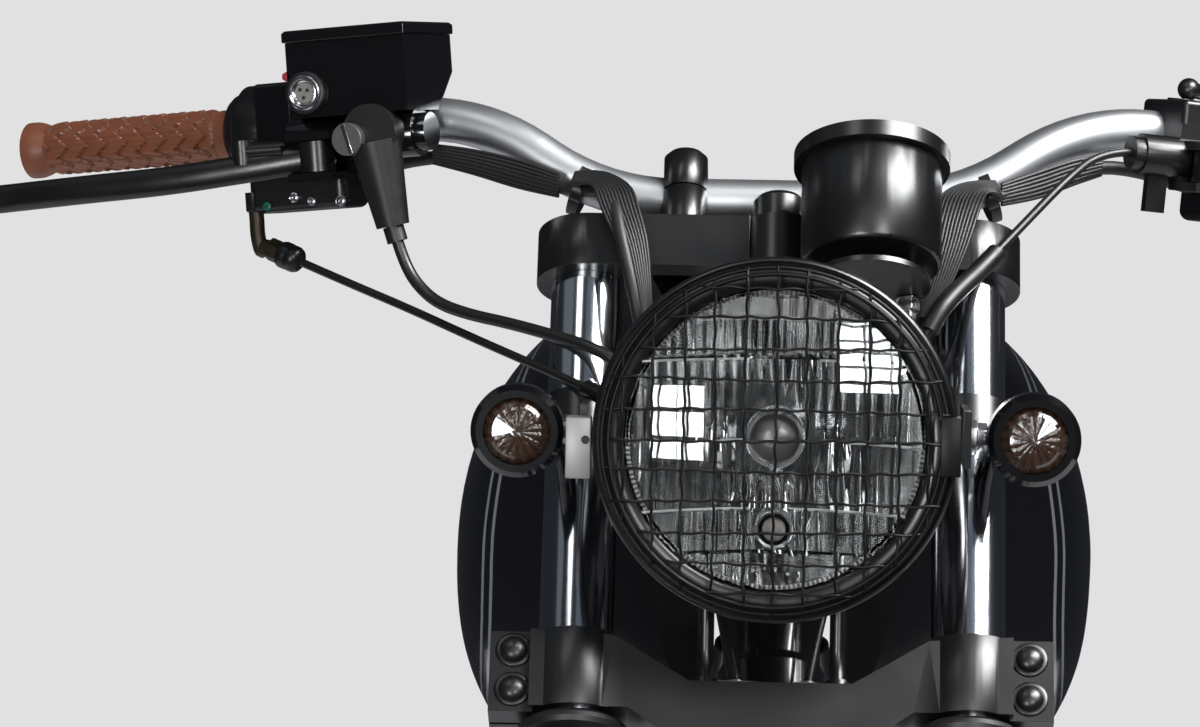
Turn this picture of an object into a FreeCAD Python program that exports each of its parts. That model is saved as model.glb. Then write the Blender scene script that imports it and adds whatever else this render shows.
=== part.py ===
# Front section of a cafe racer motorcycle: frame head, fuel tank and the whole steering front end.
# Millimetres. +Z is up, the machine faces -Y, and the rider's right hand is at -X.
# The origin is the middle of the front engine bolt, which holds this section to the engine.
import FreeCAD, Part
import math
import os
import re
from types import SimpleNamespace

import Sketcher

Vec = FreeCAD.Vector
X_AXIS, Y_AXIS, Z_AXIS = Vec(1, 0, 0), Vec(0, 1, 0), Vec(0, 0, 1)

# Driving dimensions
SIZES = dict(
    rake=28.5,
    head_y=-95,
    head_z=415,
    head_tube_d=54,
    head_tube_top=98,
    head_tube_foot=-126,
    stem_d=27,
    bearing_d=47,
    backbone_d=50,
    backbone_wall=3,
    backbone_rise=32,
    backbone_end_y=690,
    backbone_end_z=20,
    down_tube_d=30,
    down_tube_wall=2.5,
    down_tube_gap=96,
    engine_bolt_d=10.5,
    engine_lug_d=34,
    engine_lug_t=12,
    fork_spacing=215,
    fork_offset=45,
    fork_tube_d=41,
    fork_tube_wall=3,
    yoke_gap=220,
    upper_yoke_t=32,
    lower_yoke_t=45,
    lower_yoke_drop=29,
    lug_radius=29,
    yoke_front=74,
    barrel_d=30,
    barrel_notch=5,
    slider_d=54,
    slider_len=330,
    slider_top=300,
    tube_in_slider=60,
    axle_d=20,
    axle_forward=12,
    gaiter_d=62,
    bar_d=25.4,
    bar_wall=2,
    bar_above_yoke=33.5,
    bar_behind=-25,
    bar_middle=100,
    bar_rise=47,
    bar_knee_x=174,
    bar_knee_back=20,
    bar_half_width=445,
    bar_pull_back=128,
    bar_droop=27,
    riser_width=25,
    riser_depth=46,
    riser_spacing=108,
    riser_cap=24,
    grip_len=128,
    grip_d=30,
    grip_flange_d=35,
    grip_inner=14,
    lamp_forward=112,
    lamp_up=43,
    lamp_ring_d=198,
    glass_inset=17,
    shell_inset=11,
    lamp_depth=105,
    grille_pitch=16.5,
    grille_wire=2.2,
    ear_gap=5,
    stay_x=36,
    indicator_d=51,
    indicator_x=141,
    pod_x=51,
    pod_y=-116,
    pod_floor=90,
    pod_d=78,
    pod_bezel_d=87,
    pod_height=69,
    tank_front=92,
    tank_length=545,
    tank_half_width=195,
    tank_top=122,
    tank_wide_z=-65,
    tank_floor=-205,
    tank_belly=168,
    tunnel_width=78,
    mount_front=150,
    mount_rear=585,
    tap_x=95,
    tap_share=0.62,
    cap_d=78,
    housing_d=55,
    housing_in=-36,
    switch_drop=48,
    master_d=28,
    clutch_boot_d=23,
    reservoir_in=-145,
    reservoir_len=75,
    reservoir_low=4.5,
    reservoir_top=48,
    reservoir_front=54,
    reservoir_depth=64,
    lever_end=146,
    lever_height=16.5,
    hose_d=7,
    cable_d=5,
    loom_d=8,
    seat_gap=0.3,
)

doc = FreeCAD.newDocument("FrontSection")
sheet = doc.addObject("Spreadsheet::Sheet", "Sizes")
for row, (name, value) in enumerate(SIZES.items(), start=1):
    sheet.set("A%d" % row, name)
    sheet.set("B%d" % row, str(value))
    sheet.setAlias("B%d" % row, name)
doc.recompute()
s = SimpleNamespace(**{name: float(sheet.get(name)) for name in SIZES})

ALIAS = re.compile(r"\b(%s)\b" % "|".join(SIZES))
PARTS = []


def bound(text):
    """An expression on the sheet, from one written with bare aliases."""
    return ALIAS.sub(r"Sizes.\1", text)


def bind(thing, **sizes):
    for prop, text in sizes.items():
        thing.setExpression(prop, bound(str(text)))
    return thing


def spot(thing, x="0", y="0", z="0"):
    """Binds where a shape stands in its own or the row's frame."""
    for axis, text in zip("xyz", (x, y, z)):
        thing.setExpression(".Placement.Base." + axis, bound(str(text)))
    return thing


def turn(thing, axis, angle):
    thing.Placement = FreeCAD.Placement(thing.Placement.Base, FreeCAD.Rotation(axis, angle))
    return thing


def on_steering(thing, x="0", y="0", w="0"):
    """Stands a piece on the raked steering axis: x across, y square behind the axis, w up along it."""
    turn(thing, X_AXIS, -s.rake)
    thing.setExpression(".Placement.Rotation.Angle", bound("rake"))
    thing.setExpression(".Placement.Rotation.Axis.x", "-1")
    along = "head_y + (%s) * sin(rake * 1deg) + (%s) * cos(rake * 1deg)" % (w, y)
    up = "head_z + (%s) * cos(rake * 1deg) - (%s) * sin(rake * 1deg)" % (w, y)
    return spot(thing, x, along, up)


def keep(name, thing):
    """Names a finished sub-part."""
    thing.Label = name
    PARTS.append(thing)
    return thing


def cylinder(radius, height, x="0", y="0", z="0", axis=Z_AXIS):
    part = doc.addObject("Part::Cylinder", "cylinder")
    bind(part, Radius=radius, Height=height)
    part.Placement = FreeCAD.Placement(Vec(), FreeCAD.Rotation(Z_AXIS, axis))
    return spot(part, x, y, z)


def box(length, width, height, x="0", y="0", z="0"):
    """A box standing on z, centred on x and y."""
    part = doc.addObject("Part::Box", "box")
    bind(part, Length=length, Width=width, Height=height)
    return spot(part, "(%s) - (%s) / 2" % (x, length), "(%s) - (%s) / 2" % (y, width), z)


def fuse(*shapes):
    part = doc.addObject("Part::MultiFuse", "fuse")
    part.Shapes = list(shapes)
    part.Refine = True
    return part


def cut(base, *tools):
    part = doc.addObject("Part::Cut", "cut")
    part.Base = base
    part.Tool = tools[0] if len(tools) == 1 else fuse(*tools)
    return part


def number(text):
    """What an expression on the sheet comes to now."""
    return float(sheet.evalExpression(bound(str(text))))


def outline(body, plane, corners):
    """A closed sketch on a body's origin plane, each corner tied to the sheet by two expressions."""
    sketch = body.newObject("Sketcher::SketchObject", "sketch")
    origin = [f for f in body.Origin.OriginFeatures if f.Role == plane][0]
    sketch.AttachmentSupport = (origin, "")
    sketch.MapMode = "FlatFace"
    places = [(number(across), number(up)) for across, up in corners]
    count = len(places)
    sketch.addGeometry([Part.LineSegment(Vec(*here, 0), Vec(*after, 0))
                        for here, after in zip(places, places[1:] + places[:1])])
    rules = [Sketcher.Constraint("Coincident", i, 2, (i + 1) % count, 1) for i in range(count)]
    ties = {}
    for i, (corner, place) in enumerate(zip(corners, places)):
        for kind, zero_line, text, now in (("DistanceX", -2, corner[0], place[0]),
                                           ("DistanceY", -1, corner[1], place[1])):
            if str(text) == "0":
                rules.append(Sketcher.Constraint("PointOnObject", i, 1, zero_line))
            else:
                ties[len(rules)] = bound(str(text))
                rules.append(Sketcher.Constraint(kind, -1, 1, i, 1, now))
    sketch.addConstraint(rules)
    for at, text in ties.items():
        sketch.setExpression("Constraints[%d]" % at, text)
    return sketch


def turned(corners):
    """A body turned about its own Z axis from corners (radius, height)."""
    body = doc.addObject("PartDesign::Body", "turned")
    sketch = outline(body, "XZ_Plane", corners)
    spin = body.newObject("PartDesign::Revolution", "spin")
    spin.Profile = sketch
    spin.ReferenceAxis = (sketch, ["V_Axis"])
    spin.Angle = 360
    return body


def ring(outer, inner, low, high):
    return turned([(inner, low), (outer, low), (outer, high), (inner, high)])


def plate(plane, corners, thick):
    """A body padded evenly both ways from a sketch on one of its planes."""
    body = doc.addObject("PartDesign::Body", "plate")
    sketch = outline(body, plane, corners)
    pad = body.newObject("PartDesign::Pad", "pad")
    pad.Profile = sketch
    pad.Midplane = True
    bind(pad, Length=thick)
    return body


def shaped(name, shape):
    """A sub-part whose shape comes from Part's own functions."""
    part = doc.addObject("Part::Feature", name)
    part.Shape = shape
    return part


RAKE = math.radians(s.rake)


def steer_point(x, y, w):
    """A point of the steering frame (across, behind, along the axis) in the row's frame."""
    return Vec(x, s.head_y + w * math.sin(RAKE) + y * math.cos(RAKE),
               s.head_z + w * math.cos(RAKE) - y * math.sin(RAKE))


def head_point(x, y, z):
    """A point given from the steering head's middle, in the row's frame."""
    return Vec(x, s.head_y + y, s.head_z + z)


def path(points, share=0.45, show=""):
    """Straight runs joined by tangent arcs, each as large as its two runs allow."""
    edges, start, radii = [], points[0], []
    for before, corner, after in zip(points, points[1:], points[2:]):
        back, on = (before - corner).normalize(), (after - corner).normalize()
        half_turn = (math.pi - back.getAngle(on)) / 2
        reach = share * min((before - corner).Length, (after - corner).Length)
        radii.append(reach / math.tan(half_turn))
        first, last = corner + back * reach, corner + on * reach
        middle = (back + on).normalize()
        centre_gap = radii[-1] / math.cos(half_turn)
        top = corner + middle * (centre_gap - radii[-1])
        edges += [Part.LineSegment(start, first).toShape(), Part.Arc(first, top, last).toShape()]
        start = last
    edges.append(Part.LineSegment(start, points[-1]).toShape())
    if show:
        print(show, "length %.0f," % sum(e.Length for e in edges),
              "radii", " ".join("%.0f" % r for r in radii))
    return Part.Wire(edges)


def tube(points, diameter, wall=0, share=0.45, show=""):
    """A round tube or rod along a path."""
    spine = path(points, share, show)
    heading = points[1] - points[0]

    def sweep(radius):
        circle = Part.Wire([Part.makeCircle(radius, points[0], heading)])
        return spine.makePipeShell([circle], True, False)

    solid = sweep(diameter / 2)
    return solid.cut(sweep(diameter / 2 - wall)) if wall else solid


def rod(start, end, diameter):
    return Part.makeCylinder(diameter / 2, (end - start).Length, start, end - start)


def mirrored(shape):
    return shape.mirror(Vec(), X_AXIS)


# Frame head: the steering head's tube, the backbone, two down tubes and the engine lugs

SPINE = [steer_point(0, 0, 36), head_point(0, 300, s.backbone_rise),
         head_point(0, s.backbone_end_y, s.backbone_end_z)]


def frame_head():
    keep("head_tube", on_steering(turned([
        ("stem_d / 2 + 1", "head_tube_foot + 14"), ("bearing_d / 2", "head_tube_foot + 14"),
        ("bearing_d / 2", "head_tube_foot"), ("head_tube_d / 2 + 3", "head_tube_foot"),
        ("head_tube_d / 2 + 3", "head_tube_foot + 18"), ("head_tube_d / 2", "head_tube_foot + 24"),
        ("head_tube_d / 2", "head_tube_top - 24"), ("head_tube_d / 2 + 3", "head_tube_top - 18"),
        ("head_tube_d / 2 + 3", "head_tube_top"), ("bearing_d / 2", "head_tube_top"),
        ("bearing_d / 2", "head_tube_top - 14"), ("stem_d / 2 + 1", "head_tube_top - 14")])))
    head_solid = rod(steer_point(0, 0, s.head_tube_foot), steer_point(0, 0, s.head_tube_top), s.head_tube_d)
    flare = 6
    for low, high in ((s.head_tube_foot, s.head_tube_foot + 24), (s.head_tube_top - 24, s.head_tube_top)):
        head_solid = head_solid.fuse(rod(steer_point(0, 0, low), steer_point(0, 0, high),
                                         s.head_tube_d + flare))

    spine_end = SPINE[-1]
    backbone = tube(SPINE, s.backbone_d, s.backbone_wall)
    lug = Part.makeCylinder(s.backbone_d / 2, 54, spine_end - X_AXIS * 27, X_AXIS)
    lug = lug.cut(Part.makeCylinder(s.engine_bolt_d / 2, 56, spine_end - X_AXIS * 28, X_AXIS))
    backbone = backbone.cut(Part.makeCylinder(s.backbone_d / 2, 60, spine_end - X_AXIS * 30, X_AXIS))
    keep("backbone_tube", shaped("backbone_tube", backbone.cut(head_solid)))
    keep("rear_bolt_sleeve", shaped("rear_bolt_sleeve", lug))

    side = s.down_tube_gap / 2
    for sign, name in ((-1, "down_tube_right"), (1, "down_tube_left")):
        tube_top = steer_point(sign * 17, 8, s.head_tube_foot + 40)
        tube_knee = Vec(sign * side * 0.82, s.head_y + 36, s.head_z - 240)
        tube_foot = Vec(sign * side, 0, 0)
        bent = tube([tube_top, tube_knee, tube_foot], s.down_tube_d)
        bore = tube([tube_top, tube_knee, tube_foot], s.down_tube_d - 2 * s.down_tube_wall)
        lug_end = tube_foot - X_AXIS * s.engine_lug_t
        boss = Part.makeCylinder(s.engine_lug_d / 2, s.engine_lug_t * 2, lug_end, X_AXIS)
        hole_end = tube_foot - X_AXIS * 1.5 * s.down_tube_d
        hole = Part.makeCylinder(s.engine_bolt_d / 2, 3 * s.down_tube_d, hole_end, X_AXIS)
        solid = bent.cut(head_solid).cut(bore).fuse(boss).cut(hole)
        keep(name, shaped(name, solid))

    gusset = Part.makePolygon([Vec(-2.5, p.y, p.z) for p in (
        steer_point(0, 0, 20), steer_point(0, 0, -70), steer_point(0, 60, -42),
        Vec(0, s.head_y + 190, s.head_z + 20), Vec(0, s.head_y + 150, s.head_z + 34), steer_point(0, 0, 20))])
    web = Part.Face(gusset).extrude(Vec(5, 0, 0))
    web = web.cut(head_solid).cut(tube(SPINE, s.backbone_d))
    web = max(web.Solids, key=lambda solid: solid.Volume)
    keep("head_gusset", shaped("head_gusset", web))


# Fuel tank: rounded sections along the machine, with a tunnel over the backbone

def tank_section(along, narrow, lift):
    """One closed section of the tank, squeezed sideways and lifted from its floor."""
    half = s.tank_half_width * narrow
    wide_z = s.tank_wide_z + lift
    top = (s.tank_top - wide_z) * (0.35 + 0.65 * narrow)
    belly = s.tank_belly * (0.45 + 0.55 * narrow)
    power = 2 / 2.3
    points = []
    steps = 24
    for i in range(steps):
        angle = 2 * math.pi * i / steps
        across, up = math.cos(angle), math.sin(angle)
        points.append(head_point(half * math.copysign(abs(across) ** power, across), along,
                                 wide_z + (top if up > 0 else belly) * math.copysign(abs(up) ** power, up)))
    curve = Part.BSplineCurve()
    curve.interpolate(points, PeriodicFlag=True)
    return Part.Wire([curve.toShape()])


def tunnel_shape(gap):
    """The arched tunnel under the tank that the backbone runs in, with room to spare all round."""
    reach = s.tank_length + 40
    start = s.tank_front - 20
    width = s.tunnel_width - 2 * gap
    arch_z = s.backbone_rise - 2
    straight = Part.makeBox(width, reach, 400, head_point(-width / 2, start, arch_z - 400))
    return straight.fuse(Part.makeCylinder(width / 2, reach, head_point(0, start, arch_z), Y_AXIS))


def tank():
    stations = 11
    broadest = 0.42
    sections = []
    for i in range(stations):
        share = i / (stations - 1)
        if share < broadest:
            away = (broadest - share) / broadest
            narrow, lift = 1 - 0.64 * away ** 2.8, 26 * away ** 2
        else:
            away = (share - broadest) / (1 - broadest)
            narrow, lift = 1 - 0.60 * away ** 2.2, 34 * away ** 2
        sections.append(tank_section(s.tank_front + share * s.tank_length, narrow, lift))
    body = Part.makeLoft(sections, True)
    floor = Part.makeBox(500, s.tank_length + 40, 300,
                         head_point(-250, s.tank_front - 20, s.tank_floor - 300))
    body = body.cut(floor)
    body = body.cut(tunnel_shape(0))
    cap_at = head_point(0, 300, s.tank_top - 8)
    seat = Part.makeCylinder(s.cap_d / 2 + s.seat_gap, 30, cap_at + Z_AXIS * -4)
    keep("fuel_tank", shaped("fuel_tank", body.cut(seat)))
    cap = spot(turned([(0, "-4"), ("cap_d / 2", "-4"), ("cap_d / 2", "9"), ("cap_d / 2 - 4", "13"),
                       ("cap_d / 2 - 16", "15"), (0, "15")]), "0", "head_y + 300", "head_z + tank_top - 8")
    keep("tank_cap", cap)


def tank_mounts():
    """Two rubber pucks beside the backbone at the front, and a pad on it at the rear."""
    gap = s.seat_gap
    axis_z = s.backbone_rise
    front = Part.makeCylinder(12, s.tunnel_width - 2 * gap,
                              head_point(-s.tunnel_width / 2 + gap, s.mount_front, axis_z - 12),
                              X_AXIS)
    rear = Part.makeBox(30, 24, 60, head_point(-15, s.mount_rear - 12, axis_z - 10))
    pads = front.fuse(rear).cut(tube(SPINE, s.backbone_d + 2 * gap)).common(tunnel_shape(gap))
    pads = [pad for pad in pads.Solids if pad.BoundBox.ZMax > s.head_z + s.backbone_rise - 40]
    keep("tank_mounts", shaped("tank_mounts", Part.makeCompound(pads)))


def fuel_tap():
    at = head_point(s.tap_x, s.tank_front + s.tap_share * s.tank_length, s.tank_floor - s.seat_gap)
    neck = Part.makeCylinder(9, 10, at - Z_AXIS * 10)
    body = Part.makeCylinder(13, 16, at - Z_AXIS * 26)
    lever = Part.makeBox(6, 34, 9, at + Vec(12, -17, -22)).fuse(Part.makeCylinder(8, 8, at + Vec(6, 0, -18),
                                                                                  X_AXIS))
    spigot = Part.makeCylinder(4, 22, at + Vec(0, 0, -18), -Y_AXIS)
    keep("fuel_tap", shaped("fuel_tap", neck.fuse([body, lever, spigot])))


frame_head()
tank()
tank_mounts()
fuel_tap()


# Steering head: stem, yokes and their pinch lugs

TUBE_SIDES = ((-1, "right"), (1, "left"))


def stem():
    keep("steering_stem", on_steering(turned([
        (0, "-yoke_gap / 2 - lower_yoke_drop - lower_yoke_t - 2"),
        ("stem_d / 2", "-yoke_gap / 2 - lower_yoke_drop - lower_yoke_t - 2"),
        ("stem_d / 2", "yoke_gap / 2 + upper_yoke_t + 12"),
        (0, "yoke_gap / 2 + upper_yoke_t + 12")])))
    nut = cut(fuse(cylinder("21", "9"), cylinder("17", "15")), cylinder("stem_d / 2", "20", z="-1"))
    keep("stem_nut", on_steering(nut, w="yoke_gap / 2 + upper_yoke_t"))
    keep("head_bearings", on_steering(fuse(
        ring("bearing_d / 2 - 0.3", "stem_d / 2", "head_tube_top - 12", "yoke_gap / 2"),
        ring("bearing_d / 2 - 0.3", "stem_d / 2",
             "-yoke_gap / 2 - lower_yoke_drop", "head_tube_foot + 12"))))


def upper_yoke():
    low = "yoke_gap / 2"
    lugs = [cylinder("lug_radius", "upper_yoke_t", "%d * fork_spacing / 2" % sign, "-fork_offset", low)
            for sign, side in TUBE_SIDES]
    web = plate("XY_Plane", [
        ("-fork_spacing / 2", "-yoke_front"), ("fork_spacing / 2", "-yoke_front"),
        ("fork_spacing / 2", "-yoke_front + 20"), ("fork_spacing / 2 + 8", "-fork_offset + 20"),
        ("30", "22"), ("-30", "22"), ("-fork_spacing / 2 - 8", "-fork_offset + 20"),
        ("-fork_spacing / 2", "-yoke_front + 20")], "upper_yoke_t")
    spot(web, z="yoke_gap / 2 + upper_yoke_t / 2")
    boss = cylinder("30", "upper_yoke_t", z=low)
    pocket = plate("XY_Plane", [("-fork_spacing / 2 + 36", "-yoke_front + 14"),
                                ("fork_spacing / 2 - 36", "-yoke_front + 14"),
                                ("fork_spacing / 2 - 42", "-fork_offset + 10"), ("34", "-14"),
                                ("-34", "-14"), ("-fork_spacing / 2 + 42", "-fork_offset + 10")],
                                "upper_yoke_t")
    spot(pocket, z="yoke_gap / 2")
    holes = [cylinder("fork_tube_d / 2", "upper_yoke_t + 4", "%d * fork_spacing / 2" % sign, "-fork_offset",
                      "yoke_gap / 2 - 2") for sign, side in TUBE_SIDES]
    stem_hole = cylinder("stem_d / 2", "upper_yoke_t + 4", z="yoke_gap / 2 - 2")
    notch = cylinder("barrel_d / 2 + barrel_notch", "upper_yoke_t + 4", y="-yoke_front + 12",
                     z="yoke_gap / 2 - 2")
    body = cut(fuse(web, boss, *lugs), pocket, stem_hole, notch, *holes)
    keep("upper_yoke", on_steering(body))


def lower_yoke():
    top, thick, drop = "-yoke_gap / 2", "lower_yoke_t", "lower_yoke_drop"
    half = "fork_spacing / 2"
    wing = plate("XZ_Plane", [
        ("-%s - 24" % half, top), ("-%s + 22" % half, top + " - 3"), ("-62", top + " - 18"),
        ("-44", "%s - %s" % (top, drop)),
        ("44", "%s - %s" % (top, drop)), ("62", top + " - 18"), ("%s - 22" % half, top + " - 3"),
        ("%s + 24" % half, top),
        ("%s + 24" % half, "%s - %s" % (top, thick)), ("%s - 30" % half, "%s - %s" % (top, thick)),
        ("38", "%s - %s - %s" % (top, thick, drop)), ("-38", "%s - %s - %s" % (top, thick, drop)),
        ("-%s + 30" % half, "%s - %s" % (top, thick)), ("-%s - 24" % half, "%s - %s" % (top, thick))],
        "2 * lug_radius - 8")
    spot(wing, y="-fork_offset + 2")
    lugs = [cylinder("lug_radius - 1", thick, "%d * fork_spacing / 2" % sign, "-fork_offset",
                     "%s - %s" % (top, thick))
            for sign, side in TUBE_SIDES]
    pinches = [box("24", "36", "lower_yoke_t + 2", "%d * (fork_spacing / 2 + 34)" % sign, "-fork_offset",
                   "%s - %s - 2" % (top, thick)) for sign, side in TUBE_SIDES]
    boss = cylinder("31", thick, z="%s - %s - %s" % (top, drop, thick))
    web = box("62", "fork_offset", thick, y="-fork_offset / 2", z="%s - %s - %s" % (top, drop, thick))
    holes = [cylinder("fork_tube_d / 2", "lower_yoke_t + 20", "%d * fork_spacing / 2" % sign, "-fork_offset",
                      "%s - %s - 10" % (top, thick)) for sign, side in TUBE_SIDES]
    slits = [box("40", "3", "lower_yoke_t + 20", "%d * (fork_spacing / 2 + 32)" % sign, "-fork_offset",
                 "%s - %s - 10" % (top, thick)) for sign, side in TUBE_SIDES]
    stem_hole = cylinder("stem_d / 2", "lower_yoke_t + 20", z="%s - %s - %s - 10" % (top, drop, thick))
    body = cut(fuse(wing, boss, web, *lugs, *pinches), stem_hole, *holes, *slits)
    keep("lower_yoke", on_steering(body))


stem()
upper_yoke()
lower_yoke()


# Fork legs

def fork_place(sign):
    return dict(x="%d * fork_spacing / 2" % sign, y="-fork_offset")


def both_legs(name, make):
    """One node of two like pieces, one on each fork leg."""
    pieces = []
    for sign, side in TUBE_SIDES:
        piece = make()
        spot(piece, **fork_place(sign))
        pieces.append(piece)
    keep(name, on_steering(fuse(*pieces)))


def fork_tube():
    return ring("fork_tube_d / 2", "fork_tube_d / 2 - fork_tube_wall", "-slider_top - tube_in_slider",
                "yoke_gap / 2 + upper_yoke_t + 1")


def fork_cap():
    crown = "yoke_gap / 2 + upper_yoke_t"
    bore = "fork_tube_d / 2 - fork_tube_wall - 0.1"
    return turned([
        (0, crown + " - 14"), (bore, crown + " - 14"), (bore, crown + " + 1.2"),
        ("fork_tube_d / 2 - 1", crown + " + 1.2"), ("fork_tube_d / 2 - 1", crown + " + 3"),
        ("fork_tube_d / 2 - 4", crown + " + 5"), ("8", crown + " + 5"), ("8", crown + " - 3"),
        (0, crown + " - 3")])


def fork_gaiter():
    """A rubber bellows from the lower yoke to the slider."""
    top = "-yoke_gap / 2 - lower_yoke_t - 2 - seat_gap"
    pitch = "(slider_top - yoke_gap / 2 - lower_yoke_t - 6) / %d" % GAITER_ROLLS
    profile = [("fork_tube_d / 2 + 0.4", top), ("gaiter_d / 2 - 5", top)]
    for i in range(GAITER_ROLLS):
        for share, valley in ((0.25, 1), (0.5, 0), (0.75, 1)):
            profile.append(("gaiter_d / 2 - %d" % valley, "%s - %.2f * %s" % (top, i + share, pitch)))
        profile.append(("gaiter_d / 2 - 5", "%s - %d * %s" % (top, i + 1, pitch)))
    profile += [("slider_d / 2 + 2.5", "-slider_top + 2"), ("slider_d / 2 + 2.5", "-slider_top - 14"),
                ("slider_d / 2 + 0.2", "-slider_top - 14"), ("slider_d / 2 + 0.2", "-slider_top + 0.5"),
                ("fork_tube_d / 2 + 0.4", "-slider_top + 0.5")]
    return turned(profile)


def fork_slider(sign, side):
    """The lower leg with its axle clamp and two ears for a brake caliper."""
    bore = "fork_tube_d / 2 + 0.1"
    foot = "-slider_top - tube_in_slider - seat_gap"
    end = "-slider_top - slider_len"
    leg = turned([(bore, "-slider_top"), ("slider_d / 2", "-slider_top"),
                  ("slider_d / 2", "-slider_top - 40"), ("slider_d / 2 - 3", "-slider_top - 48"),
                  ("slider_d / 2 - 3", end + " + 70"), ("slider_d / 2 - 7", end + " + 40"),
                  ("slider_d / 2 - 7", end), (0, end), (0, foot), (bore, foot)])
    clamp = cylinder("axle_d / 2 + 13", "40", "-20", "-axle_forward", end, axis=X_AXIS)
    axle_hole = cylinder("axle_d / 2", "60", "-30", "-axle_forward", end, axis=X_AXIS)
    ears = [box("12", "46", "30", "-%d * 14" % sign, "30", "%s + %d" % (end, up)) for up in (60, 150)]
    ear_holes = [cylinder("5.25", "30", "-%d * 14 - 15" % sign, "44", "%s + %d" % (end, up + 15), axis=X_AXIS)
                 for up in (60, 150)]
    leg = cut(fuse(leg, clamp, *ears), axle_hole, *ear_holes)
    keep("fork_slider_" + side, on_steering(leg, **fork_place(sign)))


GAITER_ROLLS = 12
both_legs("fork_tubes", fork_tube)
both_legs("fork_caps", fork_cap)
both_legs("fork_gaiters", fork_gaiter)
for sign, side in TUBE_SIDES:
    fork_slider(sign, side)

keep("ignition_barrel", on_steering(turned([
    (0, "yoke_gap / 2 - 14"), ("barrel_d / 2", "yoke_gap / 2 - 14"),
    ("barrel_d / 2", "yoke_gap / 2 + upper_yoke_t + 13"),
    ("barrel_d / 2 - 2.5", "yoke_gap / 2 + upper_yoke_t + 16"),
    (0, "yoke_gap / 2 + upper_yoke_t + 16")]), y="-yoke_front + 12"))


# Handlebar and its risers

def bar_points():
    """The bar's corners from its left end to its right end."""
    middle = steer_point(0, s.bar_behind, s.yoke_gap / 2 + s.upper_yoke_t + s.bar_above_yoke)
    half = []
    for across, back, up in ((s.bar_middle, 0, 0), (s.bar_knee_x, s.bar_knee_back, s.bar_rise),
                             (s.bar_half_width, s.bar_pull_back, s.bar_rise - s.bar_droop)):
        half.append(middle + Vec(across, back, up))
    return [Vec(-p.x, p.y, p.z) for p in reversed(half)] + half


BAR = bar_points()
GRIP_OUT = (BAR[-1] - BAR[-2]).normalize()


def bar_frame(sign, inward):
    """A placement on the bar: its middle line at a distance in from its end, Z out along the grip."""
    heading = Vec(sign * GRIP_OUT.x, GRIP_OUT.y, GRIP_OUT.z)
    end = BAR[-1] if sign > 0 else BAR[0]
    front = (Z_AXIS.cross(heading) * -sign).normalize()
    up = heading.cross(front).normalize()
    rotation = FreeCAD.Rotation(front, up, heading, "ZXY")
    return FreeCAD.Placement(end - heading * inward, rotation)


def handlebar():
    keep("handlebar", shaped("handlebar", tube(BAR, s.bar_d, s.bar_wall)))
    top = "yoke_gap / 2 + upper_yoke_t"
    hole = cylinder("bar_d / 2", "fork_spacing", "-fork_spacing / 2", "bar_behind",
                    top + " + bar_above_yoke", axis=X_AXIS)

    def posts(low, high, crown):
        """Both risers between two heights: flat sided, with rounded fronts and backs."""
        pieces = []
        for sign, side in TUBE_SIDES:
            across = "%d * riser_spacing / 2" % sign
            ends = "riser_depth / 2 - riser_width / 2"
            round_end = [(0, low), ("riser_width / 2", low), ("riser_width / 2", "%s - %s" % (high, crown)),
                         ("riser_width / 2 - %s" % crown, high), (0, high)]
            pieces += [spot(turned(round_end), across, "bar_behind - (%s)" % ends),
                       spot(turned(round_end), across, "bar_behind + " + ends),
                       box("riser_width - 0.01", "riser_depth - riser_width",
                           "%s - %s - (%s)" % (high, crown, low),
                           across, "bar_behind", low)]
        return fuse(*pieces)

    split = top + " + bar_above_yoke"
    keep("bar_risers", on_steering(cut(posts(top, split + " - seat_gap", "0.5"), hole)))
    hole = cylinder("bar_d / 2", "fork_spacing", "-fork_spacing / 2", "bar_behind", split, axis=X_AXIS)
    keep("riser_caps", on_steering(cut(posts(split + " + seat_gap", split + " + riser_cap", "3"), hole)))


handlebar()


def grips():
    for sign, side in TUBE_SIDES:
        grip = turned([("bar_d / 2", "-grip_inner"), ("grip_d / 2", "-grip_inner"),
                       ("grip_d / 2", "grip_len - 14"),
                       ("grip_flange_d / 2 - 1", "grip_len - 8"), ("grip_flange_d / 2", "grip_len - 4"),
                       ("grip_flange_d / 2 - 3", "grip_len + 2"), ("bar_d / 2 - 6", "grip_len + 2"),
                       ("bar_d / 2 - 6", "grip_len"), ("bar_d / 2", "grip_len")])
        grip.Placement = bar_frame(sign, s.grip_len)
        keep("grip_" + side, grip)


grips()


# Headlamp

def lamp_at():
    return head_point(0, -s.fork_offset * math.cos(RAKE) - s.lamp_forward, s.lamp_up)


def on_lamp(thing, x="0", z="0"):
    """Stands a piece on the lamp's axis, its own Z to the front and 0 at the rim's face."""
    turn(thing, X_AXIS, 90)
    return spot(thing, x, "head_y - fork_offset * cos(rake * 1deg) - lamp_forward",
                "head_z + lamp_up + (%s)" % z)


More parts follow.
